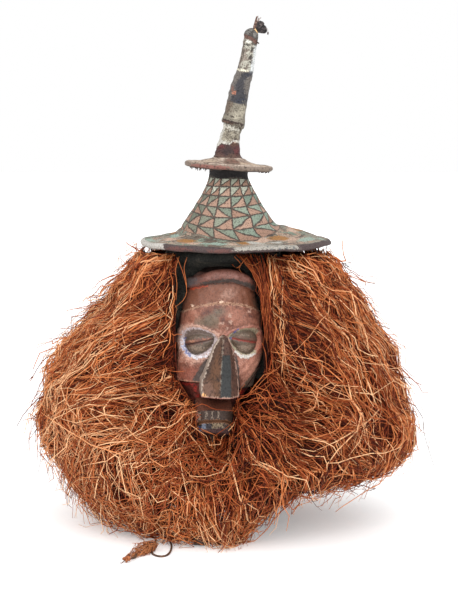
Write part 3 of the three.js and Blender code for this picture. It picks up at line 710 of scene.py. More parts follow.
# %% Grow the strands of a hank
def fibres(seed, skin, lean, roots, length, steps, parted, unruly=0.22):
    """Strands from their roots. Thin ones are many and thick ones few. The tone is even in
    the mean and paler on thick strands. It is paler on the left, as painted light, and
    darker with depth, as painted shade deep in the mass."""
    rng = np.random.default_rng(seed)
    paths, depth = lay(skin, lean, roots, rng, length, steps, parted, unruly)
    count = len(depth)
    radius = np.clip(rng.lognormal(-0.44, 0.32, count), 0.35, 1.35)
    # paler on the left than on the right: painted light
    tone = rng.normal(0.62, 0.23, count) - 0.08 * np.cos(roots[0])
    # darker with depth: painted shade deep in the mass
    tone = tone - 0.042 * depth + 0.08 * (radius > 1)
    return strands(paths, radius, np.clip(tone, 0, 1), rng)


LOCK = 11  # strands


def roots(seed, start, step, count, first, last, at_first=0.3):
    """Locks of strands at even random directions of a hank and places from first to last, a
    share of them right at the first place, where the hank is tied on. The strands of a lock
    are rooted within a few millimetres of each other."""
    rng = np.random.default_rng(seed)
    locks = count // LOCK
    place = mix(first, last, rng.random(locks) * (rng.random(locks) > at_first))
    direction = start + step * rng.random(locks)
    lock = np.repeat(np.arange(locks), LOCK)
    direction = direction[lock] + rng.normal(0, 0.03, len(lock))
    return direction, place[lock] + np.abs(rng.normal(0, 0.015, len(lock))), lock


def joined(one, other):
    """Two sets of roots as one. The locks of the other are counted on."""
    counted_on = other[2] + one[2][-1] + 1
    return [np.concatenate(pair) for pair in zip(one, (*other[:2], counted_on))]


# %% [markdown]
# ## Loose strands in front of the face
# A few strands have come loose and lie over the hood, the right cheek and the mouth. Their
# routes are read off their places on the object and smoothed. Beside the right cheek a lock
# hangs straight: its strands lie between two border routes.

# %% Loose strands
OVER_HOOD_LEFT = [
    [(-67, -84, 396), (-58, -90, 373), (-53, -98, 350), (-58, -100, 337), (-70, -100, 327)],
    [(-53, -84, 396), (-57, -88, 381), (-54, -94, 363), (-53, -98, 347)],
    [(-64, -82, 397), (-69, -86, 378), (-67, -92, 359), (-68, -98, 337)],
    [(-74, -108, 291), (-70, -110, 289), (-66, -112, 291), (-59, -112, 290)],
]
OVER_HOOD_RIGHT = [
    [(10, -84, 386), (17, -88, 381), (25, -88, 389), (31, -86, 396)],
    [(13, -84, 397), (22, -88, 387), (20, -90, 380), (24, -90, 374)],
    [(52, -98, 277), (57, -100, 262), (58, -100, 250), (60, -104, 217)],
    [(21, -85, 398), (30, -88, 388), (41, -90, 385), (50, -90, 391)],
]
OVER_MOUTH = [
    [(-76, -118, 165), (-65, -125, 174), (-50, -134, 182), (-33, -135, 182)],
    [(-33, -135, 182), (-39, -133, 176), (-44, -130, 168), (-62, -124, 155)],
    [(-51, -122, 184), (-40, -131, 192), (-30, -137, 197), (-14, -139, 190), (14, -131, 186)],
    [(18, -126, 198), (18, -131, 187), (21, -134, 181), (28, -136, 170), (35, -138, 158)],
    [(15, -130, 200), (35, -120, 210), (52, -112, 218), (66, -108, 229)],
    [(21, -126, 206), (38, -122, 208), (54, -118, 211)],
    [(-82, -112, 241), (-68, -116, 239), (-55, -119, 240)],
    [(-4, -130, 144), (-15, -136, 150), (4, -138, 165), (17, -134, 175)],
    [(-37, -124, 196), (-48, -122, 189), (-43, -130, 180), (-32, -136, 177)],
    [(-48, -132, 136), (-34, -138, 149), (-23, -140, 138), (-5, -142, 130)],
]
LOCK_NEAR = [(18, -80, 399), (32, -86, 384), (45, -90, 366), (50, -92, 348), (54, -94, 308),
             (56, -94, 263)]
LOCK_FAR = [(52, -82, 399), (56, -86, 378), (60, -90, 350), (62, -92, 322), (64, -95, 292),
            (66, -96, 255)]
STRAIGHT = 46  # strands in that lock


def loose(routes, seed):
    """Strands of 1.2 mm in a middle tone, along routes smoothed to twelve points."""
    paths = np.stack([through(route, 12) for route in routes])
    even = np.ones(len(paths))
    return strands(paths, 0.6 * even, 0.58 * even, np.random.default_rng(seed))


def straight_lock(seed, count):
    """Strands between the two border routes of the lock, each at its own share of the way
    from one to the other and of its own length, with a shake of 1.3 mm."""
    rng = np.random.default_rng(seed)
    near, far = through(LOCK_NEAR, 40), through(LOCK_FAR, 40)
    ends = (39 * rng.uniform(0.55, 1, count)).astype(int)
    picked = (np.linspace(0, 1, 10)[None, :] * ends[:, None]).astype(int)
    down = np.linspace(0, 1, 10)[:, None]
    share = rng.random((count, 1, 1)) + rng.normal(0, 0.22, (count, 1, 1)) * down
    paths = mix(near[picked], far[picked], share) + rng.normal(0, 1.3, (count, 10, 3))
    paths[..., 1] += rng.uniform(0, 8, count)[:, None]
    return strands(paths, rng.uniform(0.35, 0.7, count), rng.uniform(0.12, 0.62, count), rng)


over_right = [loose(OVER_HOOD_RIGHT, 80), straight_lock(81, STRAIGHT)]
over_left, over_mouth = [loose(OVER_HOOD_LEFT, 82)], [loose(OVER_MOUTH, 83)]
print(len(OVER_HOOD_LEFT + OVER_HOOD_RIGHT + OVER_MOUTH), "loose strands and a lock of", STRAIGHT)

# %% The upper layer, with more strands along both edges of the opening
UPPER_STRANDS = (1180, 1070, 720, 480, 480, 720, 950, 1060)
GAP, EDGE = np.radians(0.4), np.radians(4)  # what a core leaves free at its two ends
step = np.radians((360 - 2 * OPENING["half"]) / 8)
for i in range(8):
    start = np.radians(OPENING["middle"] + OPENING["half"]) + i * step
    first, last = start + (EDGE if i == 0 else GAP), start + step - (EDGE if i == 7 else GAP)
    heart = core(UPPER, first, last, 0.62)
    rooted = roots(i, start, step, UPPER_STRANDS[i], 0, 0.76 if i < 2 else 0.6)
    if i in (0, 7):
        edge = start if i == 0 else start + 0.7 * step
        rooted = joined(rooted, roots(50 + i, edge, 0.3 * step, 500, 0, 0.75))
    hair = fibres(100 + i, UPPER, lean_of_upper, rooted, (90, 230), 10, True)
    shells = [hair, heart, *{0: over_right, 7: over_left}.get(i, [])]
    piece(f"upper_raffia_{i + 1}", shells, [palm, palm_core], [f"fringe_hank_{i + 1}"])

# %% The lower layer, rooted nearer the jaw in front than where the upper layer hides it. In
# front some strands splay out along the floor.
LOWER_STRANDS = (1710, 1280, 730, 460, 420, 460, 730, 1250)
step = TURN / 8
for i in range(8):
    start = np.radians(OPENING["middle"]) + (i - 0.5) * step
    heart = core(LOWER, start + GAP, start + step - GAP, parted=False)
    first = 0.02 if i in (0, 1, 7) else 0.4
    rooted = roots(20 + i, start, step, LOWER_STRANDS[i], first, 0.82, 0.12)
    shells = [fibres(120 + i, LOWER, lean_of_lower, rooted, (75, 175), 8, False), heart]
    if i == 0:
        low = roots(60, start, 0.7 * step, 180, 0.62, 0.95, 0)
        shells += [*over_mouth, fibres(140, LOWER, lean_of_lower, low, (40, 90), 8, False, 1.0)]
    piece(f"lower_raffia_{i + 1}", shells, [palm, palm_core], [f"collar_hank_{i + 1}"])

# %% [markdown]
# ## Coats of paint
# The face, the hat and the spire carry old paint in many colours, with ragged edges. Each
# painted area is a mark on the mesh: the distance in millimetres inside its edge. The finish
# lays one coat after another over the ground colour, and a noise frays each edge. A picture
# texture would be quicker, but this stays sharp at any size.

# %% One coat of paint, and two ways to draw its area
def coat(tree, below, card, mark, grain, ragged, soft, cover):
    """Lays a colour over the colour below where a mark is above 0. A grain, noise round 0.5,
    moves the edge by about ragged millimetres, and the edge fades over soft millimetres."""
    inside = node(tree, "Attribute", {}, 2, attribute_name=mark)
    frayed = node(tree, "Math", {0: grain, 1: 5 * ragged, 2: inside}, operation="MULTIPLY_ADD")
    low, high = 2.5 * ragged - soft, 2.5 * ragged + soft
    share = node(tree, "MapRange", {0: frayed, 1: low, 2: high, 3: 0.0, 4: cover})
    return node(tree, "Mix", {0: share, 6: below, 7: paint(card)}, 2, data_type="RGBA")


def coats(tree, below, table, grains):
    """All coats of a table, from the bottom up: mark, colour, ragged, soft, cover, and the
    grain where it isn't the fine one."""
    for mark, card, ragged, soft, cover, *other in table:
        grain = grains[other[0] if other else "fine"]
        below = coat(tree, below, card, mark, grain, ragged, soft, cover)
    return below


def spot(x, y, *ovals):
    """Millimetres inside the nearest of some ovals, each given by its middle, its two half
    sizes and its tilt: 1 less the scaled distance, times the smaller half."""
    best = []
    for middle_x, middle_y, half_x, half_y, *tilt in ovals:
        tilt = np.radians(tilt[0] if tilt else 0.0)
        dx, dy, c, s = x - middle_x, y - middle_y, np.cos(tilt), np.sin(tilt)
        scaled = np.hypot((dx * c + dy * s) / half_x, (dy * c - dx * s) / half_y)
        best.append((1 - scaled) * min(half_x, half_y))
    return np.max(best, axis=0)


def stroke(x, y, points, width):
    """Millimetres inside a brush stroke through points: half its width less the distance to
    the nearest place of its line. The width may differ from point to point."""
    width = np.broadcast_to(width, len(points))
    best = np.full(np.broadcast(x, y).shape, -99.0)
    for (ax, ay), (bx, by), wa, wb in zip(points, points[1:], width, width[1:]):
        run = (bx - ax) ** 2 + (by - ay) ** 2
        t = np.clip(((x - ax) * (bx - ax) + (y - ay) * (by - ay)) / run, 0, 1)
        off = np.hypot(x - ax - t * (bx - ax), y - ay - t * (by - ay))
        best = np.maximum(best, mix(wa, wb, t) / 2 - off)
    return best


print("half a millimetre off, a 4 mm stroke is", stroke(0, 0.5, [(-5, 0), (5, 0)], 4), "mm deep")

# %% [markdown]
# The painted surfaces share one build: a ground tone from two noises, the coats, dirt in
# specks, and a relief of brush marks and cracks. Each gets its own sizes and colours.

# %% A finish in old paint
def painted(noises, share, stops, table, dirt, relief, squeeze=1.0, shine=None):
    """Makes a finish. The noises have a scale and a detail each, and both is the blend of fine
    and broad by a share, which gives the ground tone. Dirt is the name of its noise and what
    rubbed wants, relief a noise and metres, and shine the roughness at the ends of the fine
    noise. A squeeze under 1 draws the fine noise out upright."""
    def make(tree):
        place = node(tree, "TexCoord", output=3)
        drawn = node(tree, "Mapping", {"Vector": place, "Scale": (1.0, 1.0, squeeze)})
        grains = {}
        for name, (scale, detail) in noises.items():
            where = drawn if name == "fine" else place
            size = {"Vector": where, "Scale": scale, "Detail": detail}
            grains[name] = node(tree, "TexNoise", size)
        grains["both"] = node(tree, "Mix", {0: share, 2: grains["fine"], 3: grains["broad"]})
        colour = node(tree, "ValToRGB", {0: grains["both"]}, stops=stops)
        colour = coats(tree, colour, table, grains)
        colour = rubbed(tree, colour, grains[dirt[0]], *dirt[1:])
        height = node(tree, "Math", {0: grains[relief[0]], 1: relief[1]}, operation="MULTIPLY")
        roughness = shine and node(tree, "MapRange", {
            0: grains["fine"], 1: 0.3, 2: 0.7, 3: shine[0], 4: shine[1]})
        return colour, height, roughness
    return make


print("a finish in old paint needs noises, a ground, a table of coats, dirt and a relief")

# %% [markdown]
# ## The carved face
# One piece of light wood, hollowed behind, thinly painted and worn. A carver leaves few,
# clear planes: a stepped brow, two ringed eyes with bulging lids, a flat-ended nose, a block
# of teeth. Each level of the head is a half oval, a little squarer than an ellipse, and the
# eyes are pushed into that surface. Nose, mouth and handle are closed solids set into it.

# %% The levels of the face
ACROSS = [(-119, 22), (-108, 28), (-90, 33), (-72, 40), (-58, 50), (-46.5, 56), (-44, 61),
          (-20, 63), (8, 62), (45, 60), (66, 58), (68.5, 55.5), (95, 47), (97, 50), (103, 50.5),
          (110, 50), (115, 47.5), (118, 43)]
DEEP = [(-119, 36), (-90, 46), (-58, 50), (-46.5, 53), (-44, 60), (8, 58), (45, 65), (66, 64),
        (68.5, 59), (95, 57), (97, 62), (103, 66), (110, 65), (115, 62), (118, 57)]
ARCH = [(0, 0), (68, 17), (95, 11), (118, 19)]
FACE_TURN = np.radians(4)


def table(points, x):
    """The value at x of a list of pairs, along straight lines."""
    return np.interp(x, [p[0] for p in points], [p[1] for p in points])


def on_face(across, up, out):
    """Places given across, up and out from the axis of the face, turned 4 degrees with it."""
    c, s = np.cos(FACE_TURN), np.sin(FACE_TURN)
    x = FACE_AXIS[0] + across * c + out * s
    y = FACE_AXIS[1] + across * s - out * c
    return np.stack(np.broadcast_arrays(x, y, FACE_AXIS[2] + up), -1)


def egg(across, up, outer, inner, above, below):
    """Place in an egg-shaped eye: 0 in the middle, 1 on the edge. s runs from -1 at the outer
    end to 1 at the inner corner, and the half height shrinks towards it as 1 - 0.32 s."""
    run = np.subtract(inner, outer)
    long = np.hypot(*run)
    s = 2 * ((across - outer[0]) * run[0] + (up - outer[1]) * run[1]) / long**2 - 1
    v = ((up - outer[1]) * run[0] - (across - outer[0]) * run[1]) / long * np.sign(run[0])
    half = np.where(v > 0, above, below) * np.clip(1 - 0.32 * s, 0.5, 1.5)
    return np.hypot(s, v / half), v


EYES = {  # the painted ring and the lid in it: outer end, inner corner, height above, below
    "left": [((-57.5, 7.5), (-8.5, 19), 20.5, 21.5), ((-54.5, 6), (-12.5, 17.2), 12, 15.3)],
    "right": [((55.5, 7.2), (6.6, 19.4), 19, 19.5), ((52.4, 8.6), (13, 17.6), 14.5, 17.5)],
}
turn = np.radians(np.linspace(-90, 90, 151))[None, :]
level = np.unique(np.r_[np.linspace(-119, 118, 165), [-46.5, -44, 66, 68.5, 95, 97]])[:, None]
right_side = ease(np.sin(turn), 0.05, 0.6)
looked_up = level + 10 * right_side * ease(-level, 15, 40) * (1 - ease(-level, 62, 90))
squarer = np.abs(np.sin(turn)) ** 0.85 * np.sign(turn)
half_width = table(ACROSS, looked_up) * (1 - 0.1 * right_side * ease(-level, 12, 50))
across = 0.15 * np.minimum(level, 0) + 3 * ease(level, 74, 96) + half_width * squarer
up = level - table(ARCH, level) * np.sin(turn) ** 2 - 2.6 * ease(level, 99, 117)
up = up - 7 * ease(level, 72, 95) * (1 - 0.8 * ease(level, 97, 112)) * ease(across, 10, 58)
up = up + 4.5 * ease(level, 97, 113) * ease(-across, 20, 50)
out = table(DEEP, looked_up) * np.cos(turn) ** 0.85
up, out = up + 0 * across, out + 0 * across
print("the face has", *across.shape, "places")

# %% Push the eyes in, raise the lids and cut the slits
flat = np.stack([across, up, 0 * up], -1)
pushed = 1.1 * ripple(flat, 46, 21) + 0.45 * ripple(flat, 11, 22)
face_marks = {}
for side, (ring, lid) in EYES.items():
    at_ring, _ = egg(across, up, *ring)
    at_lid, v = egg(across, up, *lid)
    gone = np.clip((1 - at_ring) / (np.abs(1 - at_ring) + np.maximum(at_lid - 1, 0) + 1e-6), 0, 1)
    pushed = pushed * (1 - 0.7 * gone) - 4.8 * np.where(at_ring < 1, gone**0.8, 0)
    pushed += 6.6 * np.sqrt(np.clip(1 - at_lid**2, 0, 1)) * (at_lid < 1)
    pushed += 0.8 * ease(v, 0, 2.5) * (at_lid < 0.9) - 1.8 * bell(v, 0, 1.3) * (at_lid < 0.97)
    pushed += 1.5 * bell(at_ring, 1.13, 0.07) * ease(v, -6, 6)
    face_marks |= {
        f"{side}_halo": np.where(v > -6, 1, 0.4) * (3.4 - np.abs(at_ring - 1.04) * 19),
        f"{side}_ring": (1 - at_ring) * 19,
        f"{side}_shade": (1 - at_ring) * 24 - np.where(v > 0, 2.9, 4.6),
        f"{side}_lid": (1 - at_lid) * 14,
        f"{side}_slit": np.where(at_lid < 1, 1.3 - np.abs(v - 0.3), -9),
        f"{side}_open": np.where(at_lid < 0.93, 3.4 - np.abs(v - 2.0), -9),
    }
thick = np.hypot(across, out) + 1e-6
across_cut, out_cut = across * (1 + pushed / thick), out * (1 + pushed / thick)
print("the lids stand out by up to", pushed.max().round(1), "mm")

# %% The painted areas of the face, in millimetres across and up
u, w = across, up
face_marks |= {
    "forehead": level - 67.6,
    "band": np.minimum(level - 95.6, 3),
    "band_dark": np.minimum(3.4 - np.abs(level - 99 - 0.03 * u), (u + 30) / 3),
    "band_grey": spot(u, level, (-50, 107, 17, 9)),
    # painted highlight along the top of the headband
    "band_glow": spot(u, level, (2, 111, 42, 4)),
    "orange": np.minimum(1.5 - np.abs(level - 94.4), 12 - np.abs(u + 31)),
    "scuff": spot(u, w, (7, 79, 9, 6, 20)),
    "ridge": 1.5 - np.abs(level - 67.4),
    "ridge_chip": spot(u, w, (-2.5, 69.5, 2.6, 2), (-41, 62.6, 2.4, 1.9)),
    "smudge": spot(u, w, (-19, 44, 16, 11, 40), (-7, 55, 12, 8, 20)),
    "pink": spot(u, w, (20, 50, 26, 13, -12), (-44, 40, 16, 14, 30)),
    "chips": spot(u, w, (9.6, 51, 2.6, 2.6), (-1.4, 40, 2.6, 1.8), (11, 42, 2.6, 3), (6, 32, 2, 2),
                  (-25, -13, 2, 1.6), (-30, 63, 2, 1.2), (37, 55, 2.4, 1.4)),
    # painted shadow of the nose on the left cheek, wider where the nose juts out further; on the
    # right, painted shade along the foot of the nose
    "groove": stroke(u, w, [(-4, 17), (-13, 4), (-22, -14), (-30, -30), (-37, -44)],
                     [2, 4, 8, 11, 13]),
    "groove_right": stroke(u, w, [(6, 18), (15, 2), (19, -14), (21, -30), (22, -54)],
                           [2, 3.5, 4, 4, 5]),
    # pale pink on the cheeks: worn paint, with a painted highlight on the right cheek
    "cheek_worn": spot(u, w, (42, -22, 17, 34, 8), (-47, -2, 6, 12)),
    "cheek_orange": spot(u, w, (-45, -33, 16, 11), (-28, -33, 6, 9)),
    "cheek_edge": np.minimum(1.3 - np.abs(looked_up + 43.8), 70 - 120 * right_side),
    "cheek_rim": np.minimum(u - 63.5 + 0.42 * np.maximum(-w - 17, 0) + 0.006 * (w - 10) ** 2,
                            12 - np.abs(w + 8) / 6),
    "recess": np.minimum(-45.4 - looked_up, 9),
    "recess_red": spot(u, w, (-38.5, -54, 2.6, 3.6), (-34, -66, 1.8, 6, 8), (-50, -49, 9, 2.2),
                       (30, -62, 10, 4)),
    "side": np.abs(np.degrees(turn)) - 80,
    "left_white": stroke(u, w, [(-56, 13), (-55, 3), (-47, -7), (-36, -10), (-24, -7), (-15, 2)],
                         [1.6, 3, 3.6, 3.2, 2.8, 1.8]),
    "left_blue": np.where(u < -44, stroke(u, w, [(-53.5, 16), (-55, 6), (-50, -4), (-45, -8)],
                                          [1.6, 1.8, 2.6, 2]), -9),
    "right_blue": spot(u, w, (16, 17, 6, 2.4, -15), (18, 28, 5, 2, 45)),
    "right_white": stroke(u, w, [(18, -1), (26, -7.5), (36, -10), (46, -7)], [3, 5, 5, 2.5]),
    "right_red": spot(u, w, (54, 8, 6, 16)),
    # paler on the bulge of the lids: worn paint and a painted highlight
    "lids_worn": spot(u, w, (-34, 4, 17, 7), (33, 4, 16, 8), (-35, 19, 15, 3.4, 8),
                      (32, 22, 15, 3.4, -8)) - 3.4,
    # painted highlight on the edge of the left upper lid, just above the slit
    "left_glow": spot(u, w, (-40, 13.5, 5, 1.8, 5), (-22, 17, 5, 1.2, 12)),
}
print("the face has", len(face_marks), "painted areas")

# %% The shell of the face, with its hollow behind
HOLLOW = {"across": 50, "deep": 46, "high": 101, "middle": 6}


def half_oval(x):
    """The height of a half circle of radius 1 over x, and 0 beyond it."""
    return np.sqrt(np.clip(1 - x**2, 0, 1))


share_in = np.cos(np.linspace(0, np.pi, 36))[None, :]
edge_in = across_cut[:, -1:] * (share_in > 0) - across_cut[:, :1] * (share_in <= 0)
u_in = 0.96 * edge_in * share_in
open_at = half_oval((level - HOLLOW["middle"]) / HOLLOW["high"])
d_in = HOLLOW["deep"] * open_at * half_oval(u_in / (HOLLOW["across"] * open_at + 1e-6))
w_in = level - table(ARCH, level) * share_in**2
rings = np.concatenate([on_face(across_cut, up, out_cut), on_face(u_in, w_in, d_in)], 1)
unpainted = np.full(u_in.shape, -99.0)
marks = {name: np.hstack([m + 0 * u, unpainted]) for name, m in face_marks.items()}
marks["side"][:, len(u[0]):] = 20
face_shell = shell(rings, 0, **marks)
print("the hollow is", d_in.max().round(1), "mm deep")

# %% Finish of the face: thin red-brown paint on wood, rubbed to pink on the high places, with
# painted highlights on the right cheek, the lids and the top of the headband, and painted shade
# beside the nose. It is mottled over 15 mm and 3 mm, and shines a little where hands have
# polished it.
FACE_COATS = [
    ("pink", "#9b6653", 9, 6, 0.6, "broad"), ("smudge", "#5d5647", 6, 4, 0.75, "broad"),
    ("forehead", "#70432f", 0.5, 0.4, 0.85), ("scuff", "#a17c6c", 5, 3, 0.5),
    ("cheek_worn", "#bd8672", 8, 6, 0.9, "broad"),
    ("cheek_orange", "#7f4230", 7, 5, 0.85, "broad"), ("side", "#4c2c22", 3, 7, 0.8),
    ("cheek_rim", "#4b483d", 1.5, 1, 0.8), ("ridge", "#b08a72", 2.2, 0.6, 0.75),
    ("ridge_chip", "#cfb19a", 1, 0.5, 1.0), ("chips", "#ab8a7a", 1.8, 0.8, 0.8),
    ("orange", "#b5492c", 1.4, 0.5, 0.95), ("band", "#663d33", 0.6, 0.5, 0.85),
    ("band_glow", "#82564b", 5, 3, 0.7, "broad"), ("band_grey", "#4d4e50", 3, 3, 0.8),
    ("band_dark", "#35302c", 2.2, 0.9, 0.9), ("groove", "#3a302b", 1.6, 0.8, 0.92),
    ("groove_right", "#33302e", 1.2, 0.7, 0.9), ("left_halo", "#bb9483", 2, 1.2, 0.85),
    ("right_halo", "#a06b5b", 2, 1.2, 0.85), ("left_ring", "#b5a9ab", 1.6, 0.8, 0.9),
    ("right_ring", "#a59e84", 1.6, 0.6, 0.9), ("left_shade", "#5d4b3f", 1.8, 0.8, 0.9),
    ("right_shade", "#5b4d3f", 2, 0.8, 0.85), ("left_white", "#cfccd2", 1.8, 0.9, 0.95),
    ("left_blue", "#4d5a94", 1.6, 0.8, 0.85), ("right_blue", "#565b8e", 1.2, 0.6, 0.9),
    ("right_white", "#cdc7c0", 1.2, 0.8, 1.0), ("right_red", "#a8604c", 1.5, 1, 0.85),
    ("left_lid", "#54463b", 0.8, 0.4, 1.0), ("right_lid", "#564639", 0.8, 0.4, 1.0),
    ("lids_worn", "#8c7867", 3.5, 1.6, 0.6), ("left_open", "#6d4439", 2.4, 1.0, 0.8),
    ("left_glow", "#b07c62", 1.2, 0.6, 0.7), ("left_slit", "#35201c", 0.5, 0.4, 0.75),
    ("right_open", "#6b4438", 2.2, 1.2, 0.5), ("right_slit", "#8c3a31", 0.8, 0.5, 0.85),
    ("cheek_edge", "#a07059", 1.6, 0.6, 0.7), ("recess", "#5b2820", 1.0, 0.6, 0.95),
    ("recess_red", "#a5281f", 2.2, 1.4, 0.75),
]
worn_face = painted(
    {"fine": (330, 4), "broad": (60, 5), "specks": (520, 2)}, 0.62,
    [(0.34, "#4f2d24"), (0.46, "#6c4133"), (0.55, "#7e4e3d"), (0.64, "#996d5d")], FACE_COATS,
    ("specks", 0.38, 0.5, "#9c948c", 0.55), ("both", 0.0022), shine=(0.42, 0.68))
face_paint = finish("worn_red_painted_wood", worn_face, IOR=1.5)

# %% [markdown]
# The nose is a long wedge that juts out towards its flat lower end. A slate-grey stripe runs
# down its front, and its left edge is rubbed white. Each level is a six-cornered outline
# whose corners are cut by a millimetre, so that the light finds an edge there.

# %% A solid from outlines with cut corners
def faceted(corners, up, per_side, cut):
    """A solid from outlines, levels x corners x 2, at heights up. Each side of an outline gets
    per_side points between places cut millimetres off its two corners. Returns across, up and
    out of all the points, and the number of the side they are on."""
    step = np.roll(corners, -1, axis=1) - corners
    long = np.linalg.norm(step, axis=2, keepdims=True) + 1e-6
    small = np.minimum(cut, 0.3 * long) / long
    share = small[..., None] + (1 - 2 * small[..., None]) * np.linspace(0, 1, per_side)[:, None]
    points = corners[:, :, None] + step[:, :, None] * share
    points = points.reshape(len(corners), -1, 2)
    side = np.repeat(np.arange(corners.shape[1]), per_side)
    return np.broadcast_arrays(points[..., 0], up[:, None], points[..., 1], side[None, :])


# %% The nose
NOSE = np.array([  # up, left edge, stripe's left and right, right edge, edges out, stripe out
    (24, -1.5, 0.2, 2.2, 4, 59, 60), (19.5, -5.5, 0.3, 4, 8, 63.5, 66),
    (7.5, -13.3, -0.8, 8, 13, 69, 75), (-5.8, -18.6, -2.7, 9, 15.8, 76, 86),
    (-18.8, -23.9, -4.4, 9.2, 18, 83, 95), (-30.4, -28.3, -5.4, 8.7, 19.2, 90, 104),
    (-37.8, -32.3, -6, 8.3, 19.5, 95, 109), (-57, -32.7, -7.3, 7.4, 19.8, 106, 122),
])
ROOT_OUT = 40  # where the nose is set into the face
nose_up = np.linspace(24, -57, 75)
lines = [np.interp(-nose_up, -NOSE[:, 0], column) for column in NOSE.T]
_, edge_left, stripe_left, stripe_right, edge_right, edge_out, stripe_out = lines
root = ROOT_OUT + 0 * nose_up
corners = [(edge_left, root), (edge_left, edge_out), (stripe_left, stripe_out),
           (stripe_right, stripe_out), (edge_right, edge_out), (edge_right, root)]
u, w, d, side = faceted(np.moveaxis(np.array(corners), 2, 0), nose_up, 10, 0.9)
lines = [line[:, None] for line in lines]
nose_marks = {
    "stripe": np.minimum.reduce([u - lines[2], lines[3] - u, -2 - w]),
    "tan": np.where(side == 1, np.minimum(7 - np.abs(u + 12 - 0.05 * w), 20 + w / 3), -9),
    "dark_front": np.where(side == 1, 3.2 - np.abs(u - lines[1] - 3.5), -9),
    "crest": np.where((side == 2) & (w > -8), 3, np.where(side == 3, 1.5, -9)),
    "grey_patch": np.where(side == 1, spot(u, w, (-24, -47, 8, 11, 10)), -9),
    "tip_chip": np.where(side == 1, spot(u, w, (-30, -55.5, 4.5, 3)), -9),
    "left_line": np.where(side < 2, 1.5 - np.abs(u - lines[1] - 0.2) - 0.12 * (d < 60), -9),
    # painted highlight along the right edge of the nose
    "right_line": 1.3 - np.abs(u - lines[4] + 0.2),
    "stripe_line": 0.5 - np.abs(u - lines[2]),
    "wall": np.where((side == 0) | (side > 3), 4, -9),
    "foot": -55.8 - w,
    "bottom_rim": np.where(side < 4, 1.1 - np.abs(w + 56), -9),
}
nose_shell = shell(on_face(u, w, d), 1, **nose_marks)
print("the nose juts out", NOSE[-1, -1] - ROOT_OUT, "mm")

# %% Finish of the nose: dark brown paint with fine upright scratches, mottled over 9 mm
NOSE_COATS = [
    ("wall", "#40342c", 1, 0.5, 0.9), ("tan", "#5a3b26", 6, 4, 0.8, "broad"),
    ("dark_front", "#402e25", 3, 1.5, 0.7), ("crest", "#4b3229", 2, 1, 0.8),
    ("grey_patch", "#674a3c", 3, 2, 0.85), ("stripe", "#272828", 1.0, 0.5, 1.0),
    ("stripe_line", "#8f8678", 1.6, 0.5, 0.4), ("left_line", "#b5a496", 1.2, 0.6, 0.8),
    ("right_line", "#a8897a", 1.5, 0.6, 0.8), ("tip_chip", "#dda66c", 1.6, 0.8, 0.95),
    ("foot", "#7c241c", 0.6, 0.5, 1.0), ("bottom_rim", "#9c8272", 1.6, 0.4, 0.6),
]
SCRATCHES = ("fine", 0.36, 0.5, "#8f8983", 0.7)
worn_nose = painted({"fine": (420, 4), "broad": (110, 4)}, 0.5,
                    [(0.38, "#2a1c15"), (0.5, "#452d20"), (0.6, "#5d4030")], NOSE_COATS,
                    SCRATCHES, ("fine", 0.0012), squeeze=0.3)
nose_paint = finish("worn_dark_painted_wood", worn_nose, Roughness=0.6, IOR=1.4)

# %% [markdown]
# The mouth is a block that juts out below the nose. Two rows of teeth are cut as shallow
# panels above and below a deep gap, the upper row painted dark with pale strokes between the
# teeth, the lower one white, blue and cream.

# %% The mouth block
MOUTH = [(-119, 20, 66), (-111, 25, 83), (-105, 26, 87), (-96, 27, 89), (-94.7, 26.5, 84),
         (-93.4, 26.5, 84), (-92, 27, 89), (-79, 27, 87), (-72, 25, 74), (-68, 23, 60)]
TEETH_UPPER = (-20.5, -11.5, -3, 5.6)  # the pale strokes between the dark upper teeth
TEETH_LOWER = (-25.5, -18.5, -11.3, -3.8, 3.2)  # the joints of the lower teeth
MOUTH_SHIFT = -13.5  # across, where the leaning axis of the face has come to
mouth_up = np.unique(np.r_[np.linspace(-119, -68, 60), [m[0] for m in MOUTH]])[:, None]
share = np.linspace(-1, 1, 71)[None, :]
half_width = table([(m[0], m[1]) for m in MOUTH], mouth_up)
front_out = table([(m[0], m[2]) for m in MOUTH], mouth_up)
mouth_level = mouth_up - 9 * share**4 * ease(-mouth_up, 72, 84)
seen = half_width * share
upper_row = ease(mouth_up, -91, -90) * (1 - ease(mouth_up, -81, -79))
lower_row = ease(mouth_up, -105, -104) * (1 - ease(mouth_up, -98, -97))
joints_up = np.min([np.abs(seen - x) for x in TEETH_UPPER], axis=0)
joints_low = np.min([np.abs(seen - x) for x in TEETH_LOWER], axis=0)
carved = 1.3 * bell(joints_up, 0, 1.1) * upper_row + 1.3 * bell(joints_low, 0, 1) * lower_row
mouth_out = front_out - 9 * np.abs(share) ** 5 - carved - 5 * share**2
print("the mouth has", *mouth_out.shape, "places")

# %% Its painted areas, and its back
def tooth(low_u, high_u, low_up, high_up):
    """Millimetres inside an upright panel of the front."""
    return np.minimum.reduce(np.broadcast_arrays(
        seen - low_u, high_u - seen, mouth_up - low_up, high_up - mouth_up))


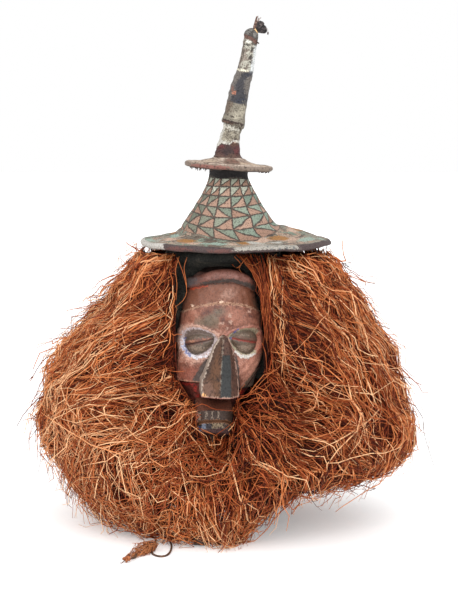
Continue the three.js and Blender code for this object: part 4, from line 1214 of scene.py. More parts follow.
mouth_marks = {
    "lip": tooth(-30, 30, -79, -60), "teeth": tooth(-25, 26, -91, -80),
    "strokes": np.max([tooth(x - 1.1, x + 1.1, -89.5, -80.5) for x in TEETH_UPPER], axis=0),
    "stroke_end": tooth(-26.5, -23, -92, -79), "gap": tooth(-30, 30, -96.4, -91.5),
    "low_white": np.maximum(tooth(-27, -22.5, -105, -97), tooth(-11, -4.2, -104, -98)),
    "low_pale": tooth(-18, -11.8, -104.5, -97.5), "low_blue": tooth(-25, -18.8, -104.5, -97.5),
    "low_cream": np.maximum(tooth(-3.5, 3, -103.5, -96.8), tooth(3.4, 12, -102, -97)),
    "chin": tooth(-30, 30, -125, -105.5), "low_dark": tooth(-11.4, -4, -104.5, -97.5),
}
to_back = [-1, -1, 0, 0]  # the edges of the front, carried to the four corners of the back
back_out = np.hstack([0.75 * mouth_out[:, -1:], 28 + 0 * mouth_up, 28 + 0 * mouth_up,
                      0.75 * mouth_out[:, :1]])
mouth_shell = shell(
    on_face(np.hstack([seen, seen[:, to_back]]) + MOUTH_SHIFT,
            np.hstack([mouth_level, mouth_level[:, to_back]]), np.hstack([mouth_out, back_out])),
    2, **{name: np.hstack([m, np.full((len(m), 4), -9.0)]) for name, m in mouth_marks.items()})
print("the mouth has", len(mouth_marks), "painted areas")

# %% Finish of the mouth: near-black paint with brown scuffs 2 mm long
MOUTH_COATS = [
    ("lip", "#683c2b", 1.5, 1, 0.95), ("teeth", "#3a2a22", 1, 0.6, 0.95),
    ("strokes", "#8a7a6c", 1.6, 0.5, 0.85), ("stroke_end", "#b0705c", 2, 0.8, 0.85),
    ("gap", "#7a5238", 1.5, 0.5, 0.9), ("chin", "#5c4444", 2, 1, 0.95, "broad"),
    ("low_white", "#979283", 2.4, 0.6, 0.85), ("low_blue", "#2f3a60", 1.4, 0.6, 0.95),
    ("low_pale", "#727b8c", 2, 0.8, 0.9), ("low_dark", "#343038", 1, 0.6, 0.95),
    ("low_cream", "#887760", 2, 0.7, 0.85),
]
worn_mouth = painted({"fine": (480, 4), "broad": (110, 4)}, 0.0,
                     [(0.4, "#2c2522"), (0.55, "#4a3d36"), (0.68, "#77665a")], MOUTH_COATS,
                     SCRATCHES, ("fine", 0.001))
mouth_paint = finish("painted_wood_of_the_mouth", worn_mouth, Roughness=0.6, IOR=1.4)

# %% The handle below the chin, dark brown and smooth with use, its grain in lines 2 mm apart
HANDLE = [(-20, -88, 158), (-25, -112, 100), (-30.5, -134, 42), (-34, -149, 0.05)]
handle = tube(through(HANDLE, 40), np.linspace(13, 9.5, 40), 24, 3)
handle["points"][:, 2] = np.maximum(handle["points"][:, 2], 0.1)
dark_wood = flecked(500, 3, [(0.35, "#241812"), (0.65, "#4e3526")], 0.0008, 0.12)
handle_wood = finish("dark_handled_wood", dark_wood, Roughness=0.5, IOR=1.5)

# %% The whole carved face
piece("carved_wooden_face", [face_shell, nose_shell, mouth_shell, handle],
      [face_paint, nose_paint, mouth_paint, handle_wood], ["carved_face"])

# %% [markdown]
# ## The hood
# Blackened cloth, drawn over a cap of cane and stiffened with resin. It is a closed bag
# between an outer and an inner oval wall, cut open in front for the face. The cloth puckers
# into upright folds towards its lower hem, so the walls are rippled round the oval.

# %% The hood
HOOD_WALL = 6
HOOD_TOP, HOOD_HEM = 403.5, 214.0
HOOD_EDGE = -36.0  # the front edge, where the cloth is sewn to the carved face
HOOD_SHOULDER = 388
CROWN = [(0.02, 0), (0.35, 0), (0.7, 0.6), (0.88, 2), (0.96, 4), (1, 9)]  # share, drop
rows_out = [(share, HOOD_TOP - drop) for share, drop in CROWN]
rows_out += [(1, z) for z in np.linspace(HOOD_SHOULDER, HOOD_HEM, 44)]
rows_in = [(1, z) for z in np.linspace(HOOD_HEM + 0.5, HOOD_SHOULDER, 14)]
rows_in += [(0.9, 395), (0.5, 397), (0.02, 397)]
share, height = np.array(rows_out + rows_in).T[..., None]
inner_wall = HOOD_WALL * (np.arange(len(share)) >= len(rows_out))[:, None]
hood_turn = np.linspace(0, TURN, 131)[:-1][None, :]
low = ease(-height, -380, -230)
fold = (0.3 + 1.5 * low) * np.sin(hood_turn * 19 + 2.2 * np.sin(hood_turn * 3) + height / 55)
fold += 0.5 * np.sin(hood_turn * 43 + height / 23)
pucker = np.minimum(fold - 1.8, 0) * (share > 0.9)
wide = share * (HOOD["across"] - inner_wall) + pucker
deep = share * (HOOD["deep"] - inner_wall) + pucker
x = HOOD["x"] + wide * np.cos(hood_turn)
y = HOOD["y"] + deep * np.sin(hood_turn)
ragged = 1.6 * np.sin(x / 4.1 + height / 9) + 1.1 * np.sin(height / 3.3)
cut = np.maximum(y, HOOD_EDGE + np.where(y < HOOD_EDGE, ragged, 0))
y = np.where(height < HOOD_SHOULDER - 1, cut, y)
hem = 2.2 * np.sin(hood_turn * 11) + 1.3 * np.sin(hood_turn * 27)
off_hem = np.abs(height - HOOD_HEM)
height = height + hem * (off_hem < 1) + np.maximum(hem, 0) * (off_hem < 8)
hood_shell = shell(np.stack(np.broadcast_arrays(x, y, height), -1))
print("the hood has", *x.shape, "places")


# %% Finish of the hood: greenish charcoal cloth, matt with soot, with rusty smears
def black_cloth(tree):
    """Smears 25 mm wide and flecks 2 mm wide. Two waves 1.8 mm long cross each other as the
    threads, and give the relief."""
    place = node(tree, "TexCoord", output=3)
    broad = node(tree, "TexNoise", {"Vector": place, "Scale": 42, "Detail": 5})
    fine = node(tree, "TexNoise", {"Vector": place, "Scale": 420, "Detail": 3})
    waves = {"Vector": place, "Scale": 170, "Distortion": 1.5}
    warp = node(tree, "TexWave", waves, 1, bands_direction="X")
    weft = node(tree, "TexWave", waves, 1, bands_direction="Z")
    thread = node(tree, "Math", {0: warp, 1: weft}, operation="MULTIPLY")
    value = node(tree, "Mix", {0: 0.45, 2: broad, 3: fine})
    colour = node(tree, "ValToRGB", {0: value}, stops=[
        (0.38, "#161614"), (0.5, "#2b2b27"), (0.58, "#3d3a33"), (0.68, "#5b4a3f")])
    height = node(tree, "Math", {0: thread, 1: 0.0006}, operation="MULTIPLY")
    return colour, height, None


hood_cloth = finish("blackened_cloth", black_cloth, Roughness=0.88, IOR=1.45)
piece("blackened_hood", [hood_shell], [hood_cloth], ["hood"])

# %% [markdown]
# ## The hat
# Cloth over a frame of cane, sized with resin and painted in small triangles: green above,
# salmon below, each edged with a dark line. The cone has six rows of fifteen cells, and each
# cell is cut by one diagonal. Row and column are marks on the mesh that count cells, so the
# finish finds every line from their fractions. The brim carries loose brushed patches.

# %% The profile of the hat, turned round a middle that leans with the height
HAT_OUTSIDE = [  # distance from the middle, and height
    (28, 515.6), (28, 508), (30, 499.8), (34.8, 488.3), (40.8, 476.8), (47.5, 465.3),
    (55.5, 453.7), (62.6, 442.2), (71, 430.6), (80, 424), (92, 419.5), (108, 416.7), (126, 415.2),
    (133.5, 414.8), (136.3, 413.6), (137.6, 411), (137.2, 408.6), (135.4, 406.9), (132.5, 406.2),
]
HAT_INSIDE = [(125.5, 408.5), (104, 411.5), (84, 418), (66, 426), (57.6, 438), (42.5, 462),
              (29.8, 486), (21, 502), (0.5, 503)]
ROW_HEIGHTS = [504, 492, 478.5, 463.3, 449.1, 433, 419.5]
MERIDIANS = [-182, -157, -132, -110.5, -86, -60, -29, -5, 18, 41, 64, 87, 109.5, 132, 155, 178]
ROWS, CELLS = len(ROW_HEIGHTS) - 1, len(MERIDIANS) - 1
DISC_LEAN = np.radians(3.9)  # of the disc above, which the top of the neck follows


def hat_middle(z):
    """X of the middle of the hat at a height: 16 at the rim, 6 on the cone, 5.4 at the neck."""
    lean = mix(6, 5.4, ease(z, 470, 500))
    return mix(16, lean, ease(z, 414.5, 436))


outside = through(HAT_OUTSIDE, 120)
inside = through(HAT_INSIDE, 26)
cap = np.array([(0.5, 515.6), (14, 515.6), (26, 515.7)])
profile = np.vstack([cap, outside, inside])
is_out = (np.arange(len(profile)) < len(cap) + len(outside))[:, None]
hat_turn = np.linspace(MERIDIANS[0], MERIDIANS[-1], 151)[:-1][None, :]
radius, z = profile[:, :1], profile[:, 1:]
direction = np.radians(hat_turn)
flat = np.stack(np.broadcast_arrays(radius * np.cos(direction), radius * np.sin(direction), z), -1)
raised = ease(radius, 62, 80) * (1 - ease(radius, 96, 132))
buckled = 9.5 * bell(hat_turn, 14, 38) * raised + 3.5 * bell(hat_turn % 360, 178, 38) * raised
uneven = (0.9 * ripple(flat, 70, 31) + 0.35 * ripple(flat, 22, 32)) * ease(radius, 30, 60)
wobbly = radius + 0.4 * ripple(flat, 26, 33)
x = hat_middle(z) + wobbly * np.cos(direction)
y = wobbly * np.sin(direction)
tilt = ease(z, 496, 508) * np.tan(DISC_LEAN) * (x + 3.6 - 5)
top = z + uneven + buckled * is_out - tilt
print("the hat has", *top.shape, "places")

# %% Its cells, and the patches and strokes of the brim
DIP = [(425, 11), (440, 8.7), (455, 6.5), (466, 3.5), (480, 2), (495, 0)]  # of rows at the sides
dip = table(DIP, z) * np.cos(direction) ** 2
row = np.interp(dip - z, [-h for h in ROW_HEIGHTS], np.arange(ROWS + 1.0)) * is_out
tall = np.interp(row, np.arange(ROWS + 1.0), [12.6, 13, 16, 17.5, 17, 20, 26])
column = np.interp(hat_turn, MERIDIANS, np.arange(CELLS + 1.0)) + 0.045 * ripple(flat, 45, 34)
cell = np.clip(np.searchsorted(MERIDIANS, hat_turn) - 1, 0, CELLS - 1)
near_rim = is_out & (radius > 131)


def patch(*patches):
    """Millimetres inside brushed patches of the brim, each given by its direction in degrees,
    its distance from the middle and its two half sizes."""
    best = []
    for middle, distance, wide, deep in patches:
        off = (hat_turn - middle + 180) % 360 - 180
        best.append(spot(np.radians(off) * radius, radius, (0, distance, wide, deep)))
    return np.max(best, axis=0)


hat_marks = {
    "row": row, "column": column, "tall": tall,
    "wide": np.radians(np.diff(MERIDIANS)[cell]) * radius,
    "slant": np.where((np.floor(row) == 3) | (np.floor(row) == 5), -1.0, 1.0),
    "mint": ease(hat_turn, -135, -45) * (1 - ease(hat_turn, 60, 120)),
    "pale": 1 - ease(row, 1.95, 2.05),
    "cone": np.where(is_out, (z - dip - 419.5) * 2.2 + 3 * ripple(flat, 40, 35) * (z < 425), -9),
    # the neck is a dark band, its paint darkened further as painted shade under the disc
    "neck": np.where(is_out, z - 504 - 1.5 * np.sin(np.radians(hat_turn * 4)), -9),
    "rim": np.where(is_out, (radius - 133) * 1.5, -9), "under": np.where(is_out, -9, 9),
    "rim_red": np.where(near_rim, spot(hat_turn, z, (-126, 410, 9, 3), (-99, 410, 7, 3)), -9),
    "rim_white": np.where(near_rim & (radius > 131.5), np.minimum(
        20 - np.abs(hat_turn + 71.5), (z - 409.6) * 1.6), -9),
    "rim_pale": np.where(near_rim & (radius > 131.5), np.minimum(
        (-138 - hat_turn) * 2, (z - 407) * 2 + 2), -9),
    "ochre": patch((175, 88, 16, 8), (-133, 104, 17, 9), (-83, 103, 11, 8), (-46, 90, 17, 8),
                   (6, 90, 14, 7), (60, 100, 16, 9), (120, 105, 18, 8)),
    "brim_pink": patch((-151, 106, 14, 8), (-122, 112, 15, 7), (-94, 113, 9, 6), (-66, 92, 14, 8),
                       (-2, 84, 18, 7), (-36, 100, 16, 6), (90, 110, 20, 8)),
    "brim_mint": patch((-106, 113, 22, 6), (-27, 113, 20, 8), (-12, 124, 16, 6),
                       (-168, 126, 22, 6), (-160, 92, 12, 7), (140, 118, 22, 8)),
    "brim_white": patch((-76, 102, 9, 9), (-74, 120, 14, 5), (-58, 106, 10, 4)),
    "brim_dark": patch((-53, 118, 16, 3), (-112, 96, 16, 3), (-140, 92, 14, 3),
                       (-20, 100, 18, 2.5)),
    "stroke": np.where((np.abs(hat_turn + 61) < 11) & (z > 408) & (z < 414.6) & near_rim,
                       np.sin(np.radians(hat_turn) * 137.5 * 1.6 + 0.5 * z), -1),
}
hat_shell = shell(np.stack([x, y, top], -1), 0, **{m: v + 0 * x for m, v in hat_marks.items()})
print("the cone has", ROWS, "rows of", CELLS, "cells")

# %% The triangles of the cone
SAGE, MINT = [(0.0, "#646859"), (1.0, "#7e7f6f")], [(0.0, "#6e7e70"), (1.0, "#8b9787")]
WHITE = [(0.0, "#949888"), (1.0, "#b6b8a8")]
SALMON = [(0.0, "#8f6f5d"), (0.6, "#a68775"), (1.0, "#876754")]


def cell_colours(tree, grains):
    """The triangles: each cell's fraction across t and down s, cut where s + slant t passes
    (1 + slant) / 2. The upper triangle is green or white-green, the lower one salmon, each a
    little lighter or darker at random."""
    marks = {m: node(tree, "Attribute", {}, 2, attribute_name=m) for m in
             ("row", "column", "slant", "tall", "wide", "mint", "pale")}
    s = node(tree, "Math", {0: marks["row"]}, operation="FRACT")
    t = node(tree, "Math", {0: marks["column"]}, operation="FRACT")
    cut = node(tree, "Math", {0: marks["slant"], 1: t, 2: s}, operation="MULTIPLY_ADD")
    half = node(tree, "Math", {0: marks["slant"], 1: 0.5, 2: 0.5}, operation="MULTIPLY_ADD")
    cut = node(tree, "Math", {0: cut, 1: half}, operation="SUBTRACT")
    wavy = node(tree, "Math", {0: grains["broad"], 1: 0.36, 2: -0.18}, operation="MULTIPLY_ADD")
    cut = node(tree, "Math", {0: cut, 1: wavy}, operation="ADD")
    upright = node(tree, "Math", {0: marks["column"], 1: 0.5}, operation="PINGPONG")
    upright = node(tree, "Math", {0: upright, 1: marks["wide"]}, operation="MULTIPLY")
    level = node(tree, "Math", {0: marks["row"], 1: 0.5}, operation="PINGPONG")
    level = node(tree, "Math", {0: level, 1: marks["tall"]}, operation="MULTIPLY")
    across = node(tree, "Math", {0: cut}, operation="ABSOLUTE")
    across = node(tree, "Math", {0: across, 1: 13.0}, operation="MULTIPLY")
    line = node(tree, "Math", {0: upright, 1: level}, operation="MINIMUM")
    line = node(tree, "Math", {0: line, 1: across}, operation="MINIMUM")
    line = node(tree, "Math", {0: grains["fine"], 1: 3.0, 2: line}, operation="MULTIPLY_ADD")
    line = node(tree, "MapRange", {0: line, 1: 2.2, 2: 2.9, 3: 0.92, 4: 0.0})
    below = node(tree, "Math", {0: cut, 1: 0.0}, operation="GREATER_THAN")
    cell = node(tree, "CombineXYZ", {
        0: node(tree, "Math", {0: marks["column"]}, operation="FLOOR"),
        1: node(tree, "Math", {0: marks["row"]}, operation="FLOOR"), 2: below})
    chance = node(tree, "TexWhiteNoise", {"Vector": cell})
    colour = node(tree, "ValToRGB", {0: chance}, stops=SAGE)
    for share, stops in ((marks["mint"], MINT), (marks["pale"], WHITE), (below, SALMON)):
        paint_of_cell = node(tree, "ValToRGB", {0: chance}, stops=stops)
        colour = node(tree, "Mix", {0: share, 6: colour, 7: paint_of_cell}, 2, data_type="RGBA")
    return colour, line


# %% Finish of the hat: sized cloth under old paint, cracked, matt and dusty
BRIM_COATS = [
    ("brim_pink", "#ba9c89", 3.5, 1, 0.9, "brushed"),
    ("brim_mint", "#8fa396", 3.5, 1.2, 0.9, "brushed"),
    ("ochre", "#96672f", 3, 1, 0.95, "brushed"), ("brim_white", "#b5b3ab", 2.5, 1, 0.9, "brushed"),
    ("brim_dark", "#4a3f38", 2, 0.8, 0.8),
]
RIM_COATS = [
    ("rim", "#463837", 1.5, 0.7, 1.0), ("rim_red", "#5f3a34", 1.8, 1, 0.85),
    ("rim_white", "#9c978e", 2.4, 0.7, 0.92), ("rim_pale", "#b9b5ae", 2.4, 0.7, 0.92),
    # the neck's near-black is partly its dark band, partly painted shade under the disc
    ("under", "#3a2c24", 1, 1, 1.0), ("neck", "#140d0e", 1.2, 0.8, 1.0),
]
SHARDS = 34  # about 30 mm across


def painted_hat(tree):
    """Patches of the brim, then the cells of the cone, then rim, neck and underside. Dirt
    darkens all of it in specks 2 mm wide."""
    place = node(tree, "TexCoord", output=3)
    warped = node(tree, "TexNoise", {"Vector": place, "Scale": 30, "Detail": 3}, 1)
    shifted = node(tree, "VectorMath", {0: place, 1: warped, 2: (0.03, 0.03, 0.03)},
                   operation="MULTIPLY_ADD")
    wide = node(tree, "Mapping", {"Vector": shifted, "Scale": (0.35, 1.0, 1.0)})
    grains = {
        "fine": node(tree, "TexNoise", {"Vector": place, "Scale": 300, "Detail": 4}),
        "broad": node(tree, "TexNoise", {"Vector": place, "Scale": 70, "Detail": 2}),
        "brushed": node(tree, "TexNoise", {"Vector": wide, "Scale": 150, "Detail": 4}),
        "specks": node(tree, "TexNoise", {"Vector": place, "Scale": 520, "Detail": 3}),
    }
    shards = node(tree, "TexVoronoi", {"Vector": shifted, "Scale": SHARDS}, 1)
    shade = node(tree, "SeparateXYZ", {0: shards})
    patches = node(tree, "ValToRGB", {0: shade}, stops=[
        (0.0, "#7e7568"), (0.25, "#9b9283"), (0.45, "#869584"),
        (0.6, "#ae9683"), (0.8, "#716355"), (0.95, "#a8a296")])
    patches.node.color_ramp.interpolation = "CONSTANT"
    seam = node(tree, "TexVoronoi", {"Vector": shifted, "Scale": SHARDS},
                feature="DISTANCE_TO_EDGE")
    seam = node(tree, "Math", {0: grains["fine"], 1: 0.12, 2: seam}, operation="MULTIPLY_ADD")
    seam = node(tree, "MapRange", {0: seam, 1: 0.075, 2: 0.105, 3: 0.7, 4: 0.0})
    patches = node(tree, "Mix", {0: seam, 6: patches, 7: paint("#51463c")}, 2, data_type="RGBA")
    patches = rubbed(tree, patches, grains["brushed"], 0.35, 0.6, "#9a9084", 0.8)
    colour = coats(tree, patches, BRIM_COATS, grains)
    cells, line = cell_colours(tree, grains)
    cells = node(tree, "Mix", {0: line, 6: cells, 7: paint("#3b302a")}, 2, data_type="RGBA")
    inside = node(tree, "Attribute", {}, 2, attribute_name="cone")
    on_cone = node(tree, "MapRange", {0: inside, 1: -0.6, 2: 0.6})
    colour = node(tree, "Mix", {0: on_cone, 6: colour, 7: cells}, 2, data_type="RGBA")
    colour = coats(tree, colour, RIM_COATS, grains)
    stroke_mark = node(tree, "Attribute", {}, 2, attribute_name="stroke")
    share = node(tree, "MapRange", {0: stroke_mark, 1: 0.2, 2: 0.6, 3: 0.0, 4: 0.75})
    colour = node(tree, "Mix", {0: share, 6: colour, 7: paint("#4d5054")}, 2, data_type="RGBA")
    colour = rubbed(tree, colour, grains["specks"], 0.36, 0.47, "#6b6058", 0.75)
    sunk = node(tree, "Math", {0: line, 1: on_cone}, operation="MULTIPLY")
    sunk = node(tree, "Math", {0: sunk, 1: -0.0006}, operation="MULTIPLY")
    height = node(tree, "Math", {0: grains["fine"], 1: 0.0016, 2: sunk}, operation="MULTIPLY_ADD")
    return colour, height, None


hat_paint = finish("painted_sized_cloth", painted_hat, Roughness=0.78, IOR=1.5)
piece("painted_hat", [hat_shell], [hat_paint], ["hat"])

# %% [markdown]
# ## The upper disc
# A flat ring of cane under cloth, with a rolled rim and a low tent of cloth up to the spire.
# It leans a little to the right. Dark threads hang from its edge where the cloth has torn.

# %% The disc
DISC_MIDDLE = np.array([5.0, 0, 520])
DISC_PROFILE = [
    (0.5, -4), (25, -4), (50, -4), (56.5, -4.2), (60.5, -4), (63, -2), (63.7, 0.3), (62.8, 2.8),
    (60, 4.2), (56, 4.2), (48, 4.4), (38, 5.8), (28, 8.6), (22, 12), (16, 12.6), (0.5, 12.6),
]


def leaning(x, y, z):
    """Places of the disc's own level plane, leaned to the right with it."""
    c, s = np.cos(DISC_LEAN), np.sin(DISC_LEAN)
    return DISC_MIDDLE + np.stack(np.broadcast_arrays(x * c + z * s, y, z * c - x * s), -1)


disc_line = through(DISC_PROFILE, 64)
disc_turn = np.radians(np.linspace(-180, 180, 121)[:-1])[None, :]
r, z = disc_line[:, :1], disc_line[:, 1:]
flat = np.stack(np.broadcast_arrays(r * np.cos(disc_turn), r * np.sin(disc_turn), 3 * z), -1)
r = r + 0.5 * ripple(flat, 24, 41) * (r > 40)
z = z + (0.35 * ripple(flat, 14, 42) + 0.5 * ripple(flat, 45, 43)) * ease(r, 4, 30)
x, y = r * np.cos(disc_turn), r * np.sin(disc_turn)
red_side = 30 - np.abs(np.degrees(disc_turn) + 118)
disc_marks = {
    "rim": np.where(z > 3.2, -4, np.minimum(9, (r - 56) * 1.5)),
    "rim_red": 0.4 * np.where((z < 1.4) & (z > -3.9) & (r > 54), red_side, -9),
    "tan": spot(x, y, (-34, -26, 17, 13), (33, -30, 26, 12, 12)),
    "brown": spot(x, y, (-26, -38, 14, 6, -10), (5, -36, 13, 14), (40, 20, 16, 10),
                  (-30, 30, 14, 12)),
    "red": spot(x, y, (9, -30, 8, 5), (26, -27, 6, 4)),
    "dark": np.where(z < -3.2, 5, -9),
    # painted shade along two creases of the cloth, from the spire's foot out to left and right
    "crease": np.maximum(stroke(x, y, [(-17, -12), (-44, -22)], 1.8),
                         stroke(x, y, [(17, -12), (46, -18)], 1.8)),
}
disc_shell = shell(leaning(x, y, z), 0, **disc_marks)

# %% Torn threads and bits of cloth under its edge
TORN = [(-154, -112, 13, 4.5), (-42, -18, 6, 3.5), (60, 75, 6, 4), (140, 150, 6, 4)]
rng = np.random.default_rng(44)
bits = []
for start, end, count, longest in TORN:  # from and to in degrees, how many, the longest
    for degree in np.linspace(start, end, count):
        a = np.radians(degree + rng.uniform(-1.5, 1.5))
        long = rng.uniform(0.3, 1) * longest
        top = np.array([59.5 * np.cos(a), 59.5 * np.sin(a), -3.5])
        way = np.array([rng.uniform(-1.5, 1.5), rng.uniform(-1.5, 1.5), -long])
        route = through([top, top + 0.5 * way + rng.normal(0, 0.5, 3), top + way], 6)
        bits.append(tube(leaning(*route.T), np.linspace(1.3, 0.35, 6), 5, 1))
print(len(bits), "bits hang from the disc")

# %% Finishes of the disc: matt beige cloth rubbed over brown, and dark rag with paler flecks
DISC_COATS = [
    ("tan", "#b4a08a", 4, 2, 0.8, "broad"), ("brown", "#5f473a", 4, 1.5, 0.85, "broad"),
    ("red", "#785245", 2.5, 1, 0.5), ("crease", "#5d4a40", 1, 0.6, 0.7),
    ("rim", "#736459", 2, 1.2, 0.85), ("rim_red", "#7c4f46", 4, 2, 0.9),
    ("dark", "#4a3a30", 2, 1, 0.95),
]
disc_cloth = painted({"fine": (330, 4), "broad": (100, 4)}, 0.5,
                     [(0.36, "#6a574a"), (0.47, "#928072"), (0.56, "#ad9c8d"), (0.66, "#c0b4a8")],
                     DISC_COATS, ("fine", 0.34, 0.45, "#6f655e", 0.8), ("both", 0.0022))
disc_paint = finish("painted_cloth_of_the_disc", disc_cloth, Roughness=0.8, IOR=1.5)
dark_thread = flecked(500, 2, [(0.4, "#2a1d19"), (0.65, "#57423a")])
rag = finish("dark_rag", dark_thread, Roughness=0.85, IOR=1.45)
piece("painted_disc", [disc_shell, *bits], [disc_paint, rag], ["upper_disc"])

# %% [markdown]
# ## The spire
# A stick wrapped in cloth. A ragged upper sleeve is drawn over a lower one, and both bend a
# little to the right. Rings lean with the stick. The cloth is painted in zones: a dark cap,
# a brown tie, flaking chalk, a pale ring, charcoal, then cream, beige and maroon.

# %% Rings along a leaning stick
FOOT = [  # x, z, radius and lean in degrees
    (4.2, 532.6, 21, 3.9), (4.1, 535.5, 18.6, 4.2), (4.5, 541, 17.6, 5), (5.1, 549, 16.2, 8),
    (6.2, 555, 14.6, 9), (8.5, 566, 13.6, 11), (10.6, 576, 13, 12), (11, 579, 12.6, 12),
]
SLEEVE = [
    (11.0, 577.6, 13.4, 12), (11.6, 580.5, 16.4, 12), (12.3, 584, 16.8, 12),
    (13.2, 589, 15.7, 12), (14.6, 596, 14.9, 12.5), (16, 603.5, 14.7, 13), (20.8, 628, 13.8, 15),
    (24.6, 642, 12.8, 16), (28.8, 655, 11.8, 14), (32.2, 672, 10.6, 11), (35.2, 690, 10, 9),
    (36.7, 699, 10.1, 8), (37.4, 706, 10.1, 4), (36.9, 711, 8.8, -4), (36.6, 714.4, 5.9, -8),
    (36.5, 716, 2.2, -10),
]


def wrapped(stations, count, seed, wrinkle):
    """Rings of a wrapped stick through stations of x, z, radius and lean in degrees. The
    cloth wrinkles by a millimetre or so, in bumps of three sizes. Returns the points, and for
    each how far it lies to the right of the stick and how high."""
    middle, height, rough, lean = through(stations, count).T[..., None]
    lean = np.radians(lean)
    turn = np.linspace(0, TURN, 85)[:-1][None, :]
    flat = np.stack(np.broadcast_arrays(rough * np.cos(turn), rough * np.sin(turn), height), -1)
    bumps = 0.5 * ripple(flat * (1, 1, 1.8), 18, seed) + 0.3 * ripple(flat, 7, seed + 1)
    rough = np.maximum(rough + wrinkle * (bumps + 0.25 * ripple(flat, 3.5, seed + 2)), 0.5)
    right = rough * np.cos(turn)
    x = middle + right * np.cos(lean)
    z = height - right * np.sin(lean)
    return np.stack([x, rough * np.sin(turn), z], -1), right, z


# %% The foot of the spire
foot_points, right, z = wrapped(FOOT, 60, 51, 0.75)
step = 4.5 * ease(right, 1, 6)  # the upper edge of the maroon steps up on the right
foot_marks = {
    "maroon": 551.2 - z - 0.18 * right + step - 1.5 * ease(right, 9, 12),
    "maroon_dark": spot(right, z, (1, 541, 8, 9)),
    "maroon_red": spot(right, z, (12.5, 543, 3, 7), (-11, 548, 4, 3)),
    "brown_patch": spot(right, z, (8, 553.5, 6.5, 5, 20)),
    "brown_eye": spot(right, z, (8, 554, 2, 1.3)),
    "white_edge": np.maximum(1.6 - np.abs(z - 552.8 + 0.18 * right - step),
                             -right - 11.2 + np.minimum(z - 552, 0)),
    "white_top": z - 572 + 0.25 * right,
    "foot_flare": 537 - z + 2 * np.sin(right / 3),
}
foot_shell = shell(foot_points, 0, **foot_marks)
print("the foot's cloth has", *z.shape, "places")

# %% The sleeve, with its ragged lower lip and a nib on the right of the tie
sleeve_points, right, z = wrapped(SLEEVE, 160, 53, 0.6)
lip = ease(-z, -583, -577)
torn = 1.6 * np.sin(right * 0.9) + 1.2 * np.sin(right * 2.3 + 1)
sleeve_points[..., 2] += lip * torn - 0.25 * right * lip
slope = z + 0.2 * right
sleeve_marks = {
    "cream": 609 - slope,
    # darker on the left side of the cream zone: painted shade
    "cream_dark": np.minimum.reduce([-right - 7.5 + (z - 600) * 0.25, z - 596, 610 - slope]),
    "cream_light": spot(right, z, (3, 592, 7, 6), (9, 598, 4, 9)),
    "fold": np.maximum(
        stroke(right, z, [(-16, 596), (-9, 593), (-1, 590.5)], [1.8, 1.5, 0.8]),
        stroke(right, z, [(-15, 587.5), (-6, 584), (4, 581.5), (16, 580)], [2.6, 3.4, 2, 2])),
    "fold_brown": stroke(right, z, [(-14, 584.5), (-7, 582.5), (0, 580.5)], [4.5, 4.5, 2]),
    "coal": np.minimum(slope - 608.4, 653.5 - slope),
    "ring": np.minimum(1.4 - np.abs(slope - 655.4), 5 - right),
    "chalk": np.minimum.reduce([slope - 656, 699 - slope, 7.5 - np.abs(right - 0.8),
                                0.3 - 1.6 * np.maximum(spot(right, z, (-6, 677, 5, 14)), 0)]),
    # whiter on the right side of the chalk: painted highlight
    "chalk_right": np.minimum(np.minimum(z - 652, 690 - z) * 0.3, right - 6.5),
    "cap": z + 0.45 * right - 702,
    "tie": 2.9 - np.abs(z + 0.5 * right - 700.4),
}
front_marks = {
    "streak": np.minimum(
        stroke(right, z, [(2, 652), (0, 644), (-2, 635), (1, 625), (1, 616), (1, 606)],
               [8, 10, 12, 13, 22, 28]), slope - 608.4),
    "blue": spot(right, z, (8, 651, 5, 3.5), (5, 613, 9, 4)),
    "ember": spot(right, z, (-7.2, 624.6, 2.6, 2.4)),
    "ember_dim": stroke(right, z, [(-11.5, 634), (-10, 628), (-6, 623)], 2),
    "chalk_top": spot(right, z, (-1.5, 697.3, 6, 2.6, -8)),
    "chalk_holes": spot(right, z, (4.5, 686, 1.6, 3.2, -20), (4, 675, 2.8, 3, 30),
                        (4.6, 667.5, 2, 2.2), (-2, 692, 4.5, 1.4, -15),
                        (6, 693.5, 3, 1.6, -20)),
    "cap_pale": spot(right, z, (-5, 709.5, 3.6, 2.6, 30), (6, 707, 3, 3.8, -20),
                     (0, 713, 3, 1.2)),
}
front = sleeve_points[..., 1] < 4
sleeve_marks |= {m: np.where(front, v, -9) for m, v in front_marks.items()}
sleeve_shell = shell(sleeve_points, 0, **sleeve_marks)
nib_route = through([(43.2, -5, 697.6), (46.2, -5.5, 695.6), (48.6, -5, 694.3)], 8)
nib = tube(nib_route, np.linspace(1.5, 0.9, 8), 7, 1)
print("the sleeve's cloth has", *z.shape, "places")

